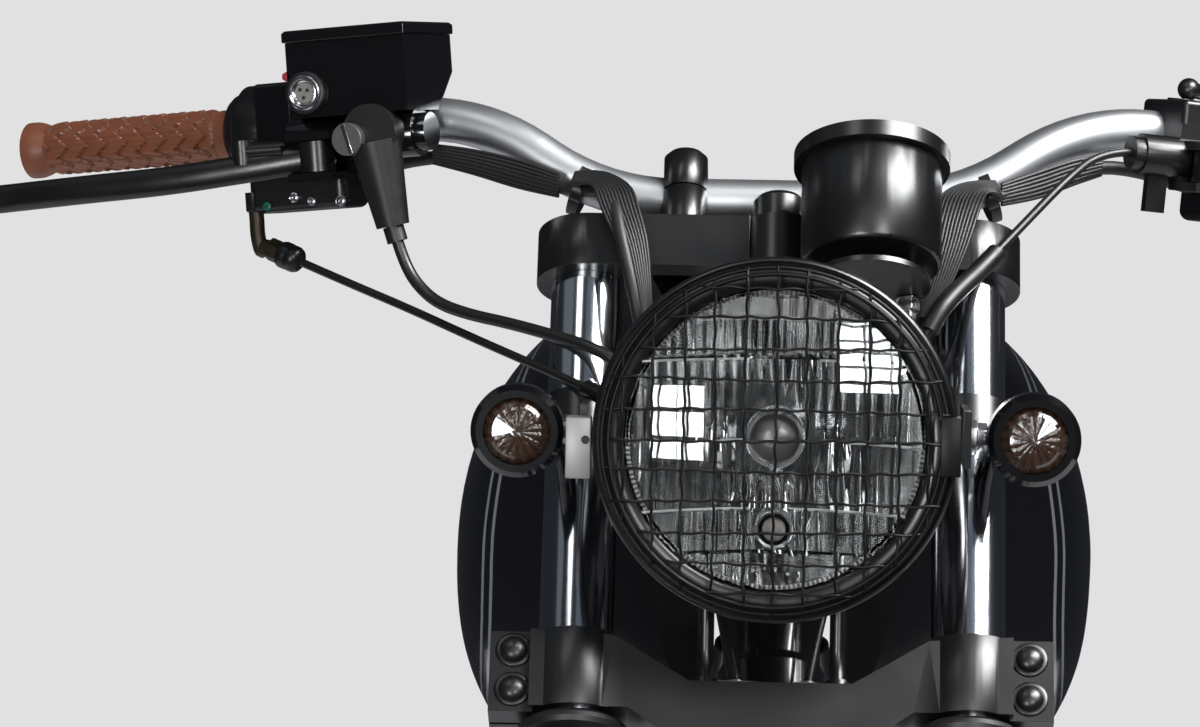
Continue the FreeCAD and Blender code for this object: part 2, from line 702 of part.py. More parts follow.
def lamp():
    bowl = turned([
        ("0", "-lamp_depth"), ("30", "-lamp_depth"),
        ("lamp_ring_d / 2 - shell_inset - 20", "-lamp_depth + 22"),
        ("lamp_ring_d / 2 - shell_inset - 4", "-lamp_depth + 52"),
        ("lamp_ring_d / 2 - shell_inset", "-lamp_depth + 80"),
        ("lamp_ring_d / 2 - shell_inset", "-17"), ("lamp_ring_d / 2 - shell_inset - 3", "-17"),
        ("lamp_ring_d / 2 - shell_inset - 3", "-lamp_depth + 80"),
        ("lamp_ring_d / 2 - shell_inset - 7", "-lamp_depth + 54"),
        ("lamp_ring_d / 2 - shell_inset - 23", "-lamp_depth + 25"),
        ("28", "-lamp_depth + 3"), ("0", "-lamp_depth + 3")])
    glands = [cylinder("6.5", "6", "%d * 20" % sign, "9", "-lamp_depth - 5 + seat_gap") for sign in (-1, 1)]
    keep("lamp_shell", on_lamp(fuse(bowl, *glands)))
    keep("lamp_rim", on_lamp(turned([
        ("lamp_ring_d / 2 - glass_inset + 0.3", "-8"), ("lamp_ring_d / 2 - glass_inset + 0.3", "-3"),
        ("lamp_ring_d / 2 - 10", "-1"),
        ("lamp_ring_d / 2 - 4", "0"), ("lamp_ring_d / 2", "-5"), ("lamp_ring_d / 2", "-12"),
        ("lamp_ring_d / 2 - 3", "-17"), ("lamp_ring_d / 2 - shell_inset - 6", "-17"),
        ("lamp_ring_d / 2 - shell_inset - 6", "-8")])))
    keep("lamp_lens", on_lamp(turned([
        (0, "1"), ("30", "0.4"), ("60", "-2"), ("lamp_ring_d / 2 - glass_inset", "-5"),
        ("lamp_ring_d / 2 - glass_inset", "-8.5"),
        ("60", "-5.5"), ("30", "-3.1"), (0, "-2.5")])))
    keep("lamp_reflector", on_lamp(turned([
        ("lamp_ring_d / 2 - glass_inset - 2", "-9"), ("66", "-28"), ("44", "-52"), ("22", "-68"),
        ("0", "-70"),
        ("0", "-72"), ("23", "-70"), ("46", "-54"), ("68", "-29"), ("lamp_ring_d / 2 - glass_inset", "-9")])))
    keep("lamp_bulb_shield", on_lamp(turned([
        (0, "-38"), ("14", "-38"), ("16", "-42"), ("16", "-58"), ("14", "-58"), ("14", "-42"), (0, "-41")])))


lamp()


def grille():
    """A wire mesh whose wires cross in two layers, held in a flat ring that clips to the rim."""
    hoop = ring("lamp_ring_d / 2 - 7", "lamp_ring_d / 2 - 15", "1", "1 + grille_wire")
    wires = []
    reach = s.lamp_ring_d / 2 - 11
    count = int(reach / s.grille_pitch)
    for step in range(-count, count + 1):
        span = "2 * sqrt((lamp_ring_d / 2 - 11)^2 - (%d * grille_pitch)^2)" % step
        off = "%d * grille_pitch" % step
        wires.append(box(span, "grille_wire", "grille_wire", "0", off, "1 + grille_wire * 0.7"))
        wires.append(box("grille_wire", span, "grille_wire", off, "0", "1 + grille_wire * 0.2"))
    keep("lamp_grille", on_lamp(fuse(hoop, *wires)))


grille()


CABLE_STOP = head_point(-105, -55, 64)
CABLE_HEADING = Vec(16, -17, -6)


def lamp_carriers():
    """A clamp round each fork tube with an arm to the lamp's ear, and the throttle cable's stop on the right."""
    lamp_centre = lamp_at()
    solids = []
    height = 24
    for sign, side in TUBE_SIDES:
        w = (s.lamp_up - s.fork_offset * math.sin(RAKE)) / math.cos(RAKE)
        at = steer_point(sign * s.fork_spacing / 2, -s.fork_offset, w)
        axis = (steer_point(0, 0, 1) - steer_point(0, 0, 0))
        collar = Part.makeCylinder(s.fork_tube_d / 2 + 3, height, at - axis * height / 2, axis)
        arm_start = at.y - 18
        arm = Part.makeBox(4, arm_start - lamp_centre.y - 26, 31,
                           Vec(sign * (s.lamp_ring_d / 2 + s.ear_gap) - 2, lamp_centre.y + 26,
                               lamp_centre.z - 15))
        both = collar.fuse(arm)
        if side == "right":
            ahead = CABLE_HEADING.normalize()
            both = both.fuse(Part.makeCylinder(5, 14, CABLE_STOP + ahead * s.seat_gap, ahead))
        both = both.cut(Part.makeCylinder(s.fork_tube_d / 2, height * 3, at - axis * height * 1.5, axis))
        both = both.cut(Part.makeCylinder(s.lamp_ring_d / 2 - s.shell_inset + 1, 200, lamp_centre, Y_AXIS))
        solids.append(both)
    keep("lamp_brackets", shaped("lamp_brackets", Part.makeCompound(solids)))


lamp_carriers()


def indicators():
    """Bullet indicators that face the front, each on a short stem from the lamp's ear."""
    bullets, lenses = [], []
    half = "indicator_d / 2"
    for sign, side in TUBE_SIDES:
        across = "%d * indicator_x" % sign
        bullet = turned([(0, "-40"), ("6", "-40"), ("13", "-36"), (half + " - 5", "-22"), (half, "-6"),
                         (half, "14"),
                         (half + " - 3", "18"), (half + " - 7", "18"), (half + " - 7", "8"), (0, "8")])
        spot(bullet, across)
        stem_long = "indicator_x - lamp_ring_d / 2 - ear_gap - 22"
        stem = cylinder("6", stem_long, "lamp_ring_d / 2 + ear_gap + 2" if sign > 0 else "-lamp_ring_d / 2 - ear_gap - 2 - (%s)" % stem_long,
                        "0", "-6", axis=X_AXIS)
        bullets.append(fuse(bullet, stem))
        lens = turned([(0, "8.2"), (half + " - 7.2", "8.2"), (half + " - 7.2", "15"), (half + " - 12", "19"),
                       (0, "21")])
        lenses.append(spot(lens, across))
    for name, pieces in (("indicator_housings", bullets), ("indicator_lenses", lenses)):
        both = on_lamp(fuse(*pieces))
        both.setExpression(".Placement.Base.y", bound("head_y - fork_offset * cos(rake * 1deg) - lamp_forward + 60"))
        keep(name, both)


indicators()


def lamp_stays():
    """Two stays from the lower yoke up to the underside of the lamp's shell."""
    axis_end = lamp_at()
    shell = Part.makeCylinder(s.lamp_ring_d / 2 - s.shell_inset + s.seat_gap, s.lamp_depth + 40,
                              axis_end - Y_AXIS * 20, Y_AXIS)
    yoke_top = -s.yoke_gap / 2 - s.lower_yoke_drop + s.seat_gap
    stays = []
    for sign, side in TUBE_SIDES:
        foot = steer_point(sign * s.stay_x, -s.fork_offset - 12, yoke_top)
        axis = steer_point(0, 0, 1) - steer_point(0, 0, 0)
        pad = Part.makeCylinder(7.5, 4, foot, axis)
        elbow = foot + axis * 16
        head = Vec(elbow.x, elbow.y + 4, axis_end.z - s.lamp_ring_d / 2 - s.shell_inset + 26)
        stays.append(pad.fuse(tube([foot + axis * 2, elbow, head], 9)).cut(shell))
    keep("lamp_stays", shaped("lamp_stays", Part.makeCompound(stays)))


lamp_stays()


# Instrument pod

def pod():
    here = dict(x="pod_x", y="pod_y")
    keep("pod_body", on_steering(turned([
        (0, "pod_floor"), ("pod_d / 2 - 2", "pod_floor"), ("pod_d / 2", "pod_floor + 2"),
        ("pod_d / 2", "pod_floor + pod_height - 9"), ("pod_d / 2 - 3", "pod_floor + pod_height - 9"),
        ("pod_d / 2 - 3", "pod_floor + pod_height - 16"), (0, "pod_floor + pod_height - 16")]), **here))
    keep("pod_bezel", on_steering(ring("pod_bezel_d / 2", "pod_d / 2 - 5", "pod_floor + pod_height - 9",
                                       "pod_floor + pod_height"), **here))
    keep("pod_dial", on_steering(ring("pod_d / 2 - 3.2", "0", "pod_floor + pod_height - 16",
                                      "pod_floor + pod_height - 14"), **here))
    keep("pod_glass", on_steering(ring("pod_d / 2 - 5.3", "0", "pod_floor + pod_height - 5",
                                       "pod_floor + pod_height - 3"), **here))
    bracket_w = "pod_floor - 12"
    disc = cylinder("pod_d / 2 - 6", "3", z=bracket_w)
    studs = [cylinder("5", "9", "%d * 22" % sign, "0", "pod_floor - 9") for sign in (-1, 1)]
    arm = box("26", "-pod_y - yoke_front + 20", "3", "0", "(-pod_y - yoke_front + 20) / 2", bracket_w)
    keep("pod_bracket", on_steering(fuse(disc, arm, *studs), **here))


pod()


# Controls on the bar. Points there are (out along the grip, forward, up) from the bar's middle line
# at the grip's inner end, for the rider's right hand. The left hand's pieces are mirrored

HAND = bar_frame(-1, s.grip_len)


def hand(out, forward, up):
    return HAND.multVec(Vec(forward, up, out))


UP = (hand(0, 0, 1) - hand(0, 0, 0)).normalize()


def hand_rod(start, end, diameter):
    return rod(hand(*start), hand(*end), diameter)


def hand_cone(start, end, start_d, end_d):
    span = hand(*end) - hand(*start)
    return Part.makeCone(start_d / 2, end_d / 2, span.Length, hand(*start), span)


def hand_prism(corners, out):
    """A prism along the grip from corners (forward, up)."""
    wire = Part.makePolygon([Vec(f, u, out[0]) for f, u in corners + corners[:1]])
    shape = Part.Face(wire).extrude(Vec(0, 0, out[1] - out[0]))
    shape.Placement = HAND
    return shape


def hand_box(out, forward, up):
    """A box between two distances on each of the hand's axes."""
    (f0, f1), (u0, u1) = forward, up
    return hand_prism([(f0, u0), (f1, u0), (f1, u1), (f0, u1)], out)


def softened(solid, radius):
    """A solid with all its edges rounded, as a moulding or casting is."""
    return solid.makeFillet(radius, solid.Edges)


def top_edges(solid, height):
    """The edges of a hand shape that lie in the plane at a height."""
    level = hand(0, 0, height)
    return [edge for edge in solid.Edges if all(abs((v.Point - level).dot(UP)) < 0.01 for v in edge.Vertexes)]


BAR_HOLE = hand_rod((-200, 0, 0), (20, 0, 0), s.bar_d)


def switch_housings():
    """The round housings beside the grips, with the switch block hanging below the bar."""
    drum_out, bevel = -s.grip_inner - 1, 4
    for side, block_in in (("right", -85), ("left", -93)):
        drum = hand_rod((s.housing_in, 0, 0), (drum_out - bevel, 0, 0), s.housing_d)
        drum = drum.fuse(hand_cone((drum_out - bevel, 0, 0), (drum_out, 0, 0), s.housing_d,
                                   s.housing_d - 2 * bevel))
        block = softened(hand_box((block_in, drum_out - 6), (-17, 18), (-s.switch_drop, -20.5)), 6)
        solid = drum.fuse(block).cut(BAR_HOLE)
        name = "switch_housing_" + side
        keep(name, shaped(name, mirrored(solid) if side == "left" else solid))


BRAKE_PIVOT, CLUTCH_PIVOT = (-84, 50, -18), (-106, 50, -18)


def perch_lugs(pivot):
    """Two plates that hold the lever's root between them, and the web behind it."""
    out, _, up = pivot
    half = s.lever_height / 2 + 1
    root = hand_box((out - 14, out + 14), (26, 38), (up - half - 5, up + half + 5))
    plates = hand_box((out - 14, out + 14), (36, 62), (up - half - 5, up + half + 5))
    slot = hand_box((out - 30, out + 30), (38, 70), (up - half, up + half))
    return root.fuse(plates).cut(slot)


def lever_room(pivot):
    """What the lever's round root turns in."""
    out, forward, up = pivot
    half = s.lever_height / 2 + 1
    return hand_rod((out, forward, up - half), (out, forward, up + half), 23)


def brake_master():
    """The master cylinder with its square reservoir in front of and over the bar."""
    inner, outer = s.reservoir_in, s.reservoir_in + s.reservoir_len
    low, high = s.reservoir_low, s.reservoir_top
    front, back = s.reservoir_front, s.reservoir_front - s.reservoir_depth
    slope = 22
    tub = hand_prism([(back, low + slope), (back, high), (front, high), (front, low), (back + slope, low)],
                     (inner, outer))
    barrel = hand_rod((inner + 3, 32, -8), (outer + 8, 32, -8), s.master_d)
    end_ring = hand_rod((inner - 4, 32, -8), (inner + 3, 32, -8), s.master_d - 6)
    clamp = softened(hand_box((outer + 8, s.housing_in - s.seat_gap), (-20, 34), (-19.5, 27)), 3)
    neck = hand_box((outer - 2, outer + 10), (10, 34), (low, low + 18))
    solid = tub.fuse([barrel, end_ring, clamp, neck, perch_lugs(BRAKE_PIVOT)])
    keep("master_cylinder", shaped("master_cylinder", solid.cut([BAR_HOLE, lever_room(BRAKE_PIVOT)])))
    lip = 1.6
    cap = hand_box((inner - lip, outer + lip), (back - lip, front + lip), (high + 0.2, high + 7))
    keep("reservoir_cap", shaped("reservoir_cap", cap.makeChamfer(1.5, top_edges(cap, high + 7))))
    glass_out, glass_up = outer - 12, (low + high) / 2 - 7.5
    glass = hand_rod((glass_out, front + 0.1, glass_up), (glass_out, front + 3, glass_up), 21)
    bowl = hand_rod((glass_out, front + 1, glass_up), (glass_out, front + 4, glass_up), 15)
    keep("sight_glass", shaped("sight_glass", glass.cut(bowl)))


def lever(pivot):
    """A hand lever: an oval blade from its pivot, bowed forward, to a ball end, with its reach adjuster."""
    points = [hand(*pivot), hand(-52, 60, -21.5), hand(0, 72, -26), hand(60, 77, -27.5), hand(112, 72, -29),
              hand(s.lever_end, 80, -30)]
    spine = path(points)
    heading = points[1] - points[0]
    oval = Part.Ellipse()
    oval.MajorRadius, oval.MinorRadius = s.lever_height / 2, s.lever_height / 3.4
    profile = oval.toShape()
    across = UP.cross(heading)
    profile.Placement = FreeCAD.Placement(points[0],
                                          FreeCAD.Rotation(heading.cross(across), across, heading, "ZXY"))
    blade = spine.makePipeShell([Part.Wire([profile])], True, False)
    ball = Part.makeSphere(s.lever_height / 2 + 1.5, points[-1])
    out, forward, up = pivot
    half = s.lever_height / 2 + 0.5
    root = hand_rod((out, forward, up - half), (out, forward, up + half), 21)
    adjuster = hand_rod((-66, 58, -12), (-40, 63, -12), 9).fuse(hand_rod((-42, 62, -20), (-42, 62, -6), 12))
    return blade.fuse([ball, root, adjuster])


def levers():
    keep("brake_lever", shaped("brake_lever", lever(BRAKE_PIVOT)))
    keep("clutch_lever", shaped("clutch_lever", mirrored(lever(CLUTCH_PIVOT))))


def clutch_perch():
    """The clutch lever's bracket with its cable adjuster in a rubber boot and its mirror's ball joint."""
    boot_up = CLUTCH_OUT[2]
    clamp = softened(hand_box((-120, -97), (-20, 36), (-19.5, 20)), 3)
    arm = hand_box((-121, -96), (22, 38), (boot_up - 9, 6))
    boot = hand_rod((-144, 34, boot_up), (-96, 34, boot_up), s.clutch_boot_d)
    boot = boot.fuse(hand_rod(CLUTCH_OUT, (-144, 34, boot_up), s.clutch_boot_d - 4))
    post = hand_rod((-109, 8, 10), (-109, 8, 21), 16)
    ball = Part.makeSphere(6.5, hand(-105, 8, 27)).fuse(hand_rod((-105, 8, 27), (-76, 6, 24), 9))
    tab = hand_box((-135, -123), (24, 30), (-46, boot_up - 8))
    solid = clamp.fuse([arm, boot, post, ball, tab, perch_lugs(CLUTCH_PIVOT)])
    keep("clutch_perch", shaped("clutch_perch", mirrored(solid.cut([BAR_HOLE, lever_room(CLUTCH_PIVOT)]))))


def hose_boot():
    """The rubber boot over the brake hose's elbow on the master cylinder."""
    reach = 32 + s.master_d / 2 + s.seat_gap
    head = hand_rod((-122, reach, -7), (-122, reach + 13, -7), 33)
    plug = hand_rod((-113, reach + 13, -10), (-113, reach + 18, -10), 18.5)
    neck = hand_cone((-123, 53.5, -12), HOSE_TOP, 30, 19)
    collar = hand_rod(HOSE_TOP, HOSE_EXIT, 12)
    cylinder_room = hand_rod((-150, 32, -8), (-60, 32, -8), s.master_d + 2 * s.seat_gap)
    tub_room = hand_box((-150, -60), (-20, s.reservoir_front + s.seat_gap),
                        (s.reservoir_low - s.seat_gap, 40))
    boot = head.fuse([plug, neck, collar]).cut([cylinder_room, tub_room])
    keep("brake_hose_boot", shaped("brake_hose_boot", boot))


def throttle_elbow():
    """The bent metal pipe under the throttle housing and the cable's screwed connector."""
    top = (-24, 13, -s.switch_drop - 0.2)
    knee = hand(top[0], top[1], top[2] - 25)
    ahead = (THROTTLE_ROUTE[1] - THROTTLE_ROUTE[0]).normalize()
    screw_start = THROTTLE_ROUTE[0] - ahead * 22
    pipe = tube([hand(*top), knee, screw_start + ahead * 2], 8)
    connector = Part.makeCylinder(7, 22, screw_start, ahead)
    keep("throttle_elbow", shaped("throttle_elbow", pipe.fuse(connector)))


# Hoses, cables and looms, with points from the steering head's middle where they leave the bar

def route(*points):
    return [head_point(*point) for point in points]


def left_hand(*point):
    return mirrored(Part.Vertex(hand(*point))).Point


HOSE_TOP, HOSE_EXIT = (-129, 50, -61), (-131, 49.5, -70)
CLUTCH_OUT = (-150, 34, -13.5)
HOSE_ROUTE = [hand(*HOSE_EXIT)] + route(
    (-214, 45.5, 129), (-206.5, 41.5, 116.5), (-194, 34, 106), (-175, 19.5, 100.5), (-152, 1, 97),
    (-127, -22, 92), (-98, -42, 85), (-74, -46, 68), (-56, -44, 42), (-45, -46, 8), (-36, -54, -26),
    (-27, -74, -58), (-20, -95, -94.5))
THROTTLE_ROUTE = route((-279, 104, 126), (-247, 84, 114), (-212, 55, 102), (-177, 22, 89), (-145, -12, 78),
                       (-121, -38, 70)) + [CABLE_STOP]
CLUTCH_ROUTE = [left_hand(*CLUTCH_OUT)] + route(
    (182, 48, 198), (162, 36, 182), (138, 8, 158), (112, -21, 132), (91, -42, 112), (76, -50, 86),
    (62, -50, 54), (50, -47, 14), (38, -54, -24), (27, -74, -58), (20, -95, -94.5))
LOOM_RIGHT_ROUTE = [hand(-85.3, 0, -29), hand(-100, 0, -27), hand(-120, 2, -23)] + route(
    (-184, 75, 190), (-152, 57, 181), (-124, 44, 172), (-106, 30, 172), (-96, 10, 173), (-92, -9, 164),
    (-88, -22, 146), (-82, -30, 124), (-78, -32, 106), (-74, -25, 88), (-64, -10, 75), (-49, -4, 66),
    (-35, -6, 60), (-25, -14, 55), (-20, -27, 52), (-20, -41.5, 52))
LOOM_LEFT_ROUTE = [left_hand(-93.3, 0, -29), left_hand(-109, 1, -27), left_hand(-127, 3, -23)] + route(
    (182, 74, 190), (153, 58, 181), (126, 44, 172), (112, 30, 172), (106, 10, 173), (103, -9, 163),
    (99, -22, 145), (92, -30, 123), (83, -32, 106), (76, -26, 87), (70, -13, 75), (55, -4, 66),
    (37, -6, 60), (26, -14, 55), (20, -27, 52), (20, -41.5, 52))


def cords():
    for name, points, diameter in (
            ("brake_hose", HOSE_ROUTE, s.hose_d), ("throttle_cable", THROTTLE_ROUTE, s.cable_d),
            ("clutch_cable", CLUTCH_ROUTE, s.cable_d), ("loom_right", LOOM_RIGHT_ROUTE, s.loom_d),
            ("loom_left", LOOM_LEFT_ROUTE, s.loom_d)):
        keep(name, shaped(name, tube(points, diameter, show=name)))


def cable_ties():
    """A strap round the bar and the loom in front of it, on each side of the risers."""
    ties = []
    for sign, across in ((-1, 114), (1, 119)):
        bar_at = head_point(sign * across, 64.6, 171.5)
        loom_at = head_point(sign * across, 37.5, 172)
        along = Vec(sign * 0.93, 0.12, 0.34).normalize()
        strap = Part.makeCylinder(s.bar_d / 2 + 3, 6, bar_at - along * 3, along)
        strap = strap.fuse(Part.makeCylinder(s.loom_d / 2 + 3.4, 6, loom_at - along * 3, along))
        strap = strap.fuse(rod(bar_at, loom_at, 6))
        strap = strap.cut(tube(BAR, s.bar_d + 0.4))
        strap = strap.cut(tube(LOOM_RIGHT_ROUTE if sign < 0 else LOOM_LEFT_ROUTE, s.loom_d + 0.6))
        ties.append(strap)
    keep("cable_ties", shaped("cable_ties", Part.makeCompound(ties)))


def fittings():
    """What the hose and the clutch cable end in on the lower yoke."""
    low = "-yoke_gap / 2 - lower_yoke_drop + seat_gap"
    for name, sign, width in (("yoke_union", -1, "24"), ("cable_guide", 1, "16")):
        block = box(width, "18", "8", "%d * 20" % sign, "-40", low)
        nipple = cylinder("6", "2", "%d * 20" % sign, "-40", low + " + 8")
        keep(name, on_steering(fuse(block, nipple)))


switch_housings()
brake_master()
levers()
clutch_perch()
hose_boot()
throttle_elbow()
cords()
cable_ties()
fittings()


def check_and_write():
    doc.recompute()
    os.makedirs("parts", exist_ok=True)
    for thing in doc.Objects:
        if "Invalid" in thing.State or "Error" in thing.State:
            raise SystemExit("%s (%s) is %s" % (thing.Label, thing.Name, thing.State))
    for part in PARTS:
        if part.Shape.isNull() or not part.Shape.isValid() or not part.Shape.Solids:
            raise SystemExit("%s has no valid solid: %s %s" % (part.Label, part.Shape.isNull(), part.Shape))
    for part in PARTS:
        part.Shape.exportStep("parts/%s.step" % part.Label)
        b = part.Shape.BoundBox
        print("%-22s %d solids %9.1f cm3  x %.0f..%.0f y %.0f..%.0f z %.0f..%.0f" % (
            part.Label, len(part.Shape.Solids), part.Shape.Volume / 1000,
            b.XMin, b.XMax, b.YMin, b.YMax, b.ZMin, b.ZMax))


check_and_write()
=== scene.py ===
import math

import bpy
from mathutils import Matrix, Vector


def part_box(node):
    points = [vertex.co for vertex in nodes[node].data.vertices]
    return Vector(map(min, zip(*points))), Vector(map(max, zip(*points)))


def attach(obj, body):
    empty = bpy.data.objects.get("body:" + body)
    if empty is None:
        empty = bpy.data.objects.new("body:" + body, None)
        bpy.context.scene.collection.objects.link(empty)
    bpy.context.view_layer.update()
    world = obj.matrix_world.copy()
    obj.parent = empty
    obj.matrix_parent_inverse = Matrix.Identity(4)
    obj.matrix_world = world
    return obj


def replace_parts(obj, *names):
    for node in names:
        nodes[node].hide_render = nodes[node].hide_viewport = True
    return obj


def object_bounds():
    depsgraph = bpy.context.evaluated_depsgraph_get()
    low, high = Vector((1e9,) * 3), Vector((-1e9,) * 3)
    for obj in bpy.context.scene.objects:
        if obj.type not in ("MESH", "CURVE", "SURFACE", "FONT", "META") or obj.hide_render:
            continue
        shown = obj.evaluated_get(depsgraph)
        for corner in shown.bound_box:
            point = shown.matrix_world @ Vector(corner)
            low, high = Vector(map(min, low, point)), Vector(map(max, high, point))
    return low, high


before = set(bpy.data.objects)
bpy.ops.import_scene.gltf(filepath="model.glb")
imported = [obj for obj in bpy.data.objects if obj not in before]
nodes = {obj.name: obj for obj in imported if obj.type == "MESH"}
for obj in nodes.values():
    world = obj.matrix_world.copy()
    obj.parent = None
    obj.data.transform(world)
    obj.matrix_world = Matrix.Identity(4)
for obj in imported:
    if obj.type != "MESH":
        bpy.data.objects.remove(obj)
cad_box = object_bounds()

MM = 0.001
RAKE = math.radians(28.5)
HEAD = Vector((0, -95, 415)) * MM
STEER_UP = Vector((0, math.sin(RAKE), math.cos(RAKE)))
STEER_BACK = Vector((0, math.cos(RAKE), -math.sin(RAKE)))
FORK_X, FORK_Y = 107.5, -45
LAMP = HEAD + Vector((0, -151.5, 43)) * MM
LAMP_RING_R = 99


def head(x, y, z):
    """A point in millimetres from the steering head's middle."""
    return HEAD + Vector((x, y, z)) * MM


def steer(x, y, w):
    """A point in millimetres across, behind and up along the raked steering axis."""
    return HEAD + (Vector((1, 0, 0)) * x + STEER_BACK * y + STEER_UP * w) * MM


def frame_at(origin, x_axis, y_axis, z_axis):
    """The matrix that takes millimetres on three axes to the row's frame."""
    turn = Matrix((x_axis, y_axis, z_axis)).transposed().to_4x4()
    return Matrix.Translation(origin) @ turn @ Matrix.Scale(MM, 4)


ON_STEERING = frame_at(HEAD, Vector((1, 0, 0)), STEER_BACK, STEER_UP)
ON_LAMP = frame_at(LAMP, Vector((1, 0, 0)), Vector((0, 0, 1)), Vector((0, -1, 0)))

BAR_MIDDLE = steer(0, -25, 175.5)
BAR_END = BAR_MIDDLE + Vector((-445, 128, 20)) * MM
BAR_KNEE = BAR_MIDDLE + Vector((-174, 20, 47)) * MM
OUT = (BAR_END - BAR_KNEE).normalized()
FORWARD = OUT.cross(Vector((0, 0, 1))).normalized() * -1
if FORWARD.y > 0:
    FORWARD = -FORWARD
UP = OUT.cross(FORWARD)
if UP.z < 0:
    UP = -UP
GRIP_LENGTH, GRIP_INNER = 128, 14
GRIP_START = BAR_END - OUT * GRIP_LENGTH * MM


def hand(out, forward, up):
    """A point in millimetres by the right grip: out along it, forward and up from its inner end."""
    return GRIP_START + (OUT * out + FORWARD * forward + UP * up) * MM


def left(point):
    """The same point on the rider's left."""
    return Vector((-point.x, point.y, point.z))


# ---- Finishes

class Value:
    """A shader value. Sums, products and comparisons of it add their Math nodes."""

    def __init__(self, finish, socket):
        self.finish, self.socket = finish, socket

    def maths(self, operation, *others):
        sockets = {0: self}
        sockets.update({i: other for i, other in enumerate(others, start=1)})
        return self.finish.node("Math", {"operation": operation}, sockets)

    def __add__(self, other):
        return self.maths("ADD", other)

    def __sub__(self, other):
        return self.maths("SUBTRACT", other)

    def __mul__(self, other):
        return self.maths("MULTIPLY", other)

    def __truediv__(self, other):
        return self.maths("DIVIDE", other)

    def __rsub__(self, other):
        return self.finish.node("Math", {"operation": "SUBTRACT"}, {0: other, 1: self})

    def __abs__(self):
        return self.maths("ABSOLUTE")

    def __pow__(self, other):
        return self.maths("POWER", other)

    def __lt__(self, other):
        return self.maths("LESS_THAN", other)

    def __gt__(self, other):
        return self.maths("GREATER_THAN", other)

    def wave(self):
        return self.maths("SINE")

    def within(self, low, high):
        """1 between two values and 0 outside them."""
        return (self > low) * (self < high)


class Finish:
    """A named material on one Principled shader, with what varies over the surface fed to it."""

    def __init__(self, name, colour, roughness, metallic=0.0, **constants):
        self.material = bpy.data.materials.new(name)
        self.material.use_nodes = True
        self.tree = self.material.node_tree
        self.shader = self.tree.nodes["Principled BSDF"]
        self.shader.inputs["Base Color"].default_value = (*colour, 1)
        self.shader.inputs["Roughness"].default_value = roughness
        self.shader.inputs["Metallic"].default_value = metallic
        for name, value in constants.items():
            self.shader.inputs[name.replace("_", " ")].default_value = value

    def node(self, kind, settings, sockets, output=0):
        made = self.tree.nodes.new("ShaderNode" + kind)
        for name, value in settings.items():
            if name == "stops":
                for place, tone in value[2:]:
                    made.color_ramp.elements.new(place)
                for element, (place, tone) in zip(made.color_ramp.elements, sorted(value)):
                    element.position, element.color = place, (tone, tone, tone, 1)
            else:
                setattr(made, name, value)
        for name, value in sockets.items():
            if isinstance(value, Value):
                self.tree.links.new(value.socket, made.inputs[name])
            else:
                made.inputs[name].default_value = value
        return Value(self, made.outputs[output])

    def place(self):
        return self.node("TexCoord", {}, {}, "Object")

    def part(self, axis):
        """One coordinate of the surface point, in millimetres."""
        return self.node("SeparateXYZ", {}, {0: self.place()}, axis) * 1000

    def noise(self, size, detail=2.0, stretch=(1, 1, 1)):
        """Noise whose grains are about a size in millimetres."""
        at = self.node("Mapping", {}, {"Vector": self.place(), "Scale": stretch})
        return self.node("TexNoise", {}, {"Vector": at, "Scale": 1000 / size, "Detail": detail})

    def blend(self, share, first, second):
        """One colour where the share is 0 and another where it is 1."""
        sockets = {0: share}
        for at, tone in ((6, first), (7, second)):
            sockets[at] = tone if isinstance(tone, Value) else (*tone, 1)
        return self.node("Mix", {"data_type": "RGBA"}, sockets, 2)

    def feed(self, socket, value):
        self.tree.links.new(value.socket, self.shader.inputs[socket])
        return self

    def relief(self, height, depth, strength=1.0):
        """Raises the surface by a height of 0 to 1 over a depth in millimetres."""
        bump = self.node("Bump", {}, {"Height": height, "Strength": strength, "Distance": depth * MM}, "Normal")
        return self.feed("Normal", bump)

    def coarse(self, base, swing, size, detail=2.0, stretch=(1, 1, 1)):
        """Roughness that drifts a little over the surface."""
        return self.feed("Roughness", self.noise(size, detail, stretch) * swing + (base - swing / 2))


def powder_coat(name, tone, roughness, grain):
    """Satin coat on cast or turned metal, with its fine grain."""
    finish = Finish(name, (tone, tone, tone * 1.06), roughness, Coat_Weight=0.15, Coat_Roughness=0.25)
    finish.coarse(roughness, 0.12, 25, 3)
    darker, lighter = (tone * 0.8, tone * 0.8, tone * 0.86), (tone * 1.3, tone * 1.3, tone * 1.34)
    finish.feed("Base Color", finish.blend(finish.noise(60, 3), darker, lighter))
    return finish.relief(finish.noise(grain, 1), 0.03, 0.5)


def guard_wire():
    """Black dipped wire that hardly shines."""
    finish = Finish("guard_wire", (0.006, 0.006, 0.006), 0.4, Specular_IOR_Level=0.2)
    finish.coarse(0.4, 0.12, 12, 2)
    return finish.relief(finish.noise(1.2, 1), 0.02, 0.4)


def gloss_coat(name, tone, roughness):
    finish = Finish(name, (tone, tone, tone * 1.1), roughness, Coat_Weight=0.6, Coat_Roughness=0.04)
    finish.coarse(roughness, 0.05, 40)
    return finish.relief(finish.noise(5, 1), 0.01, 0.3)


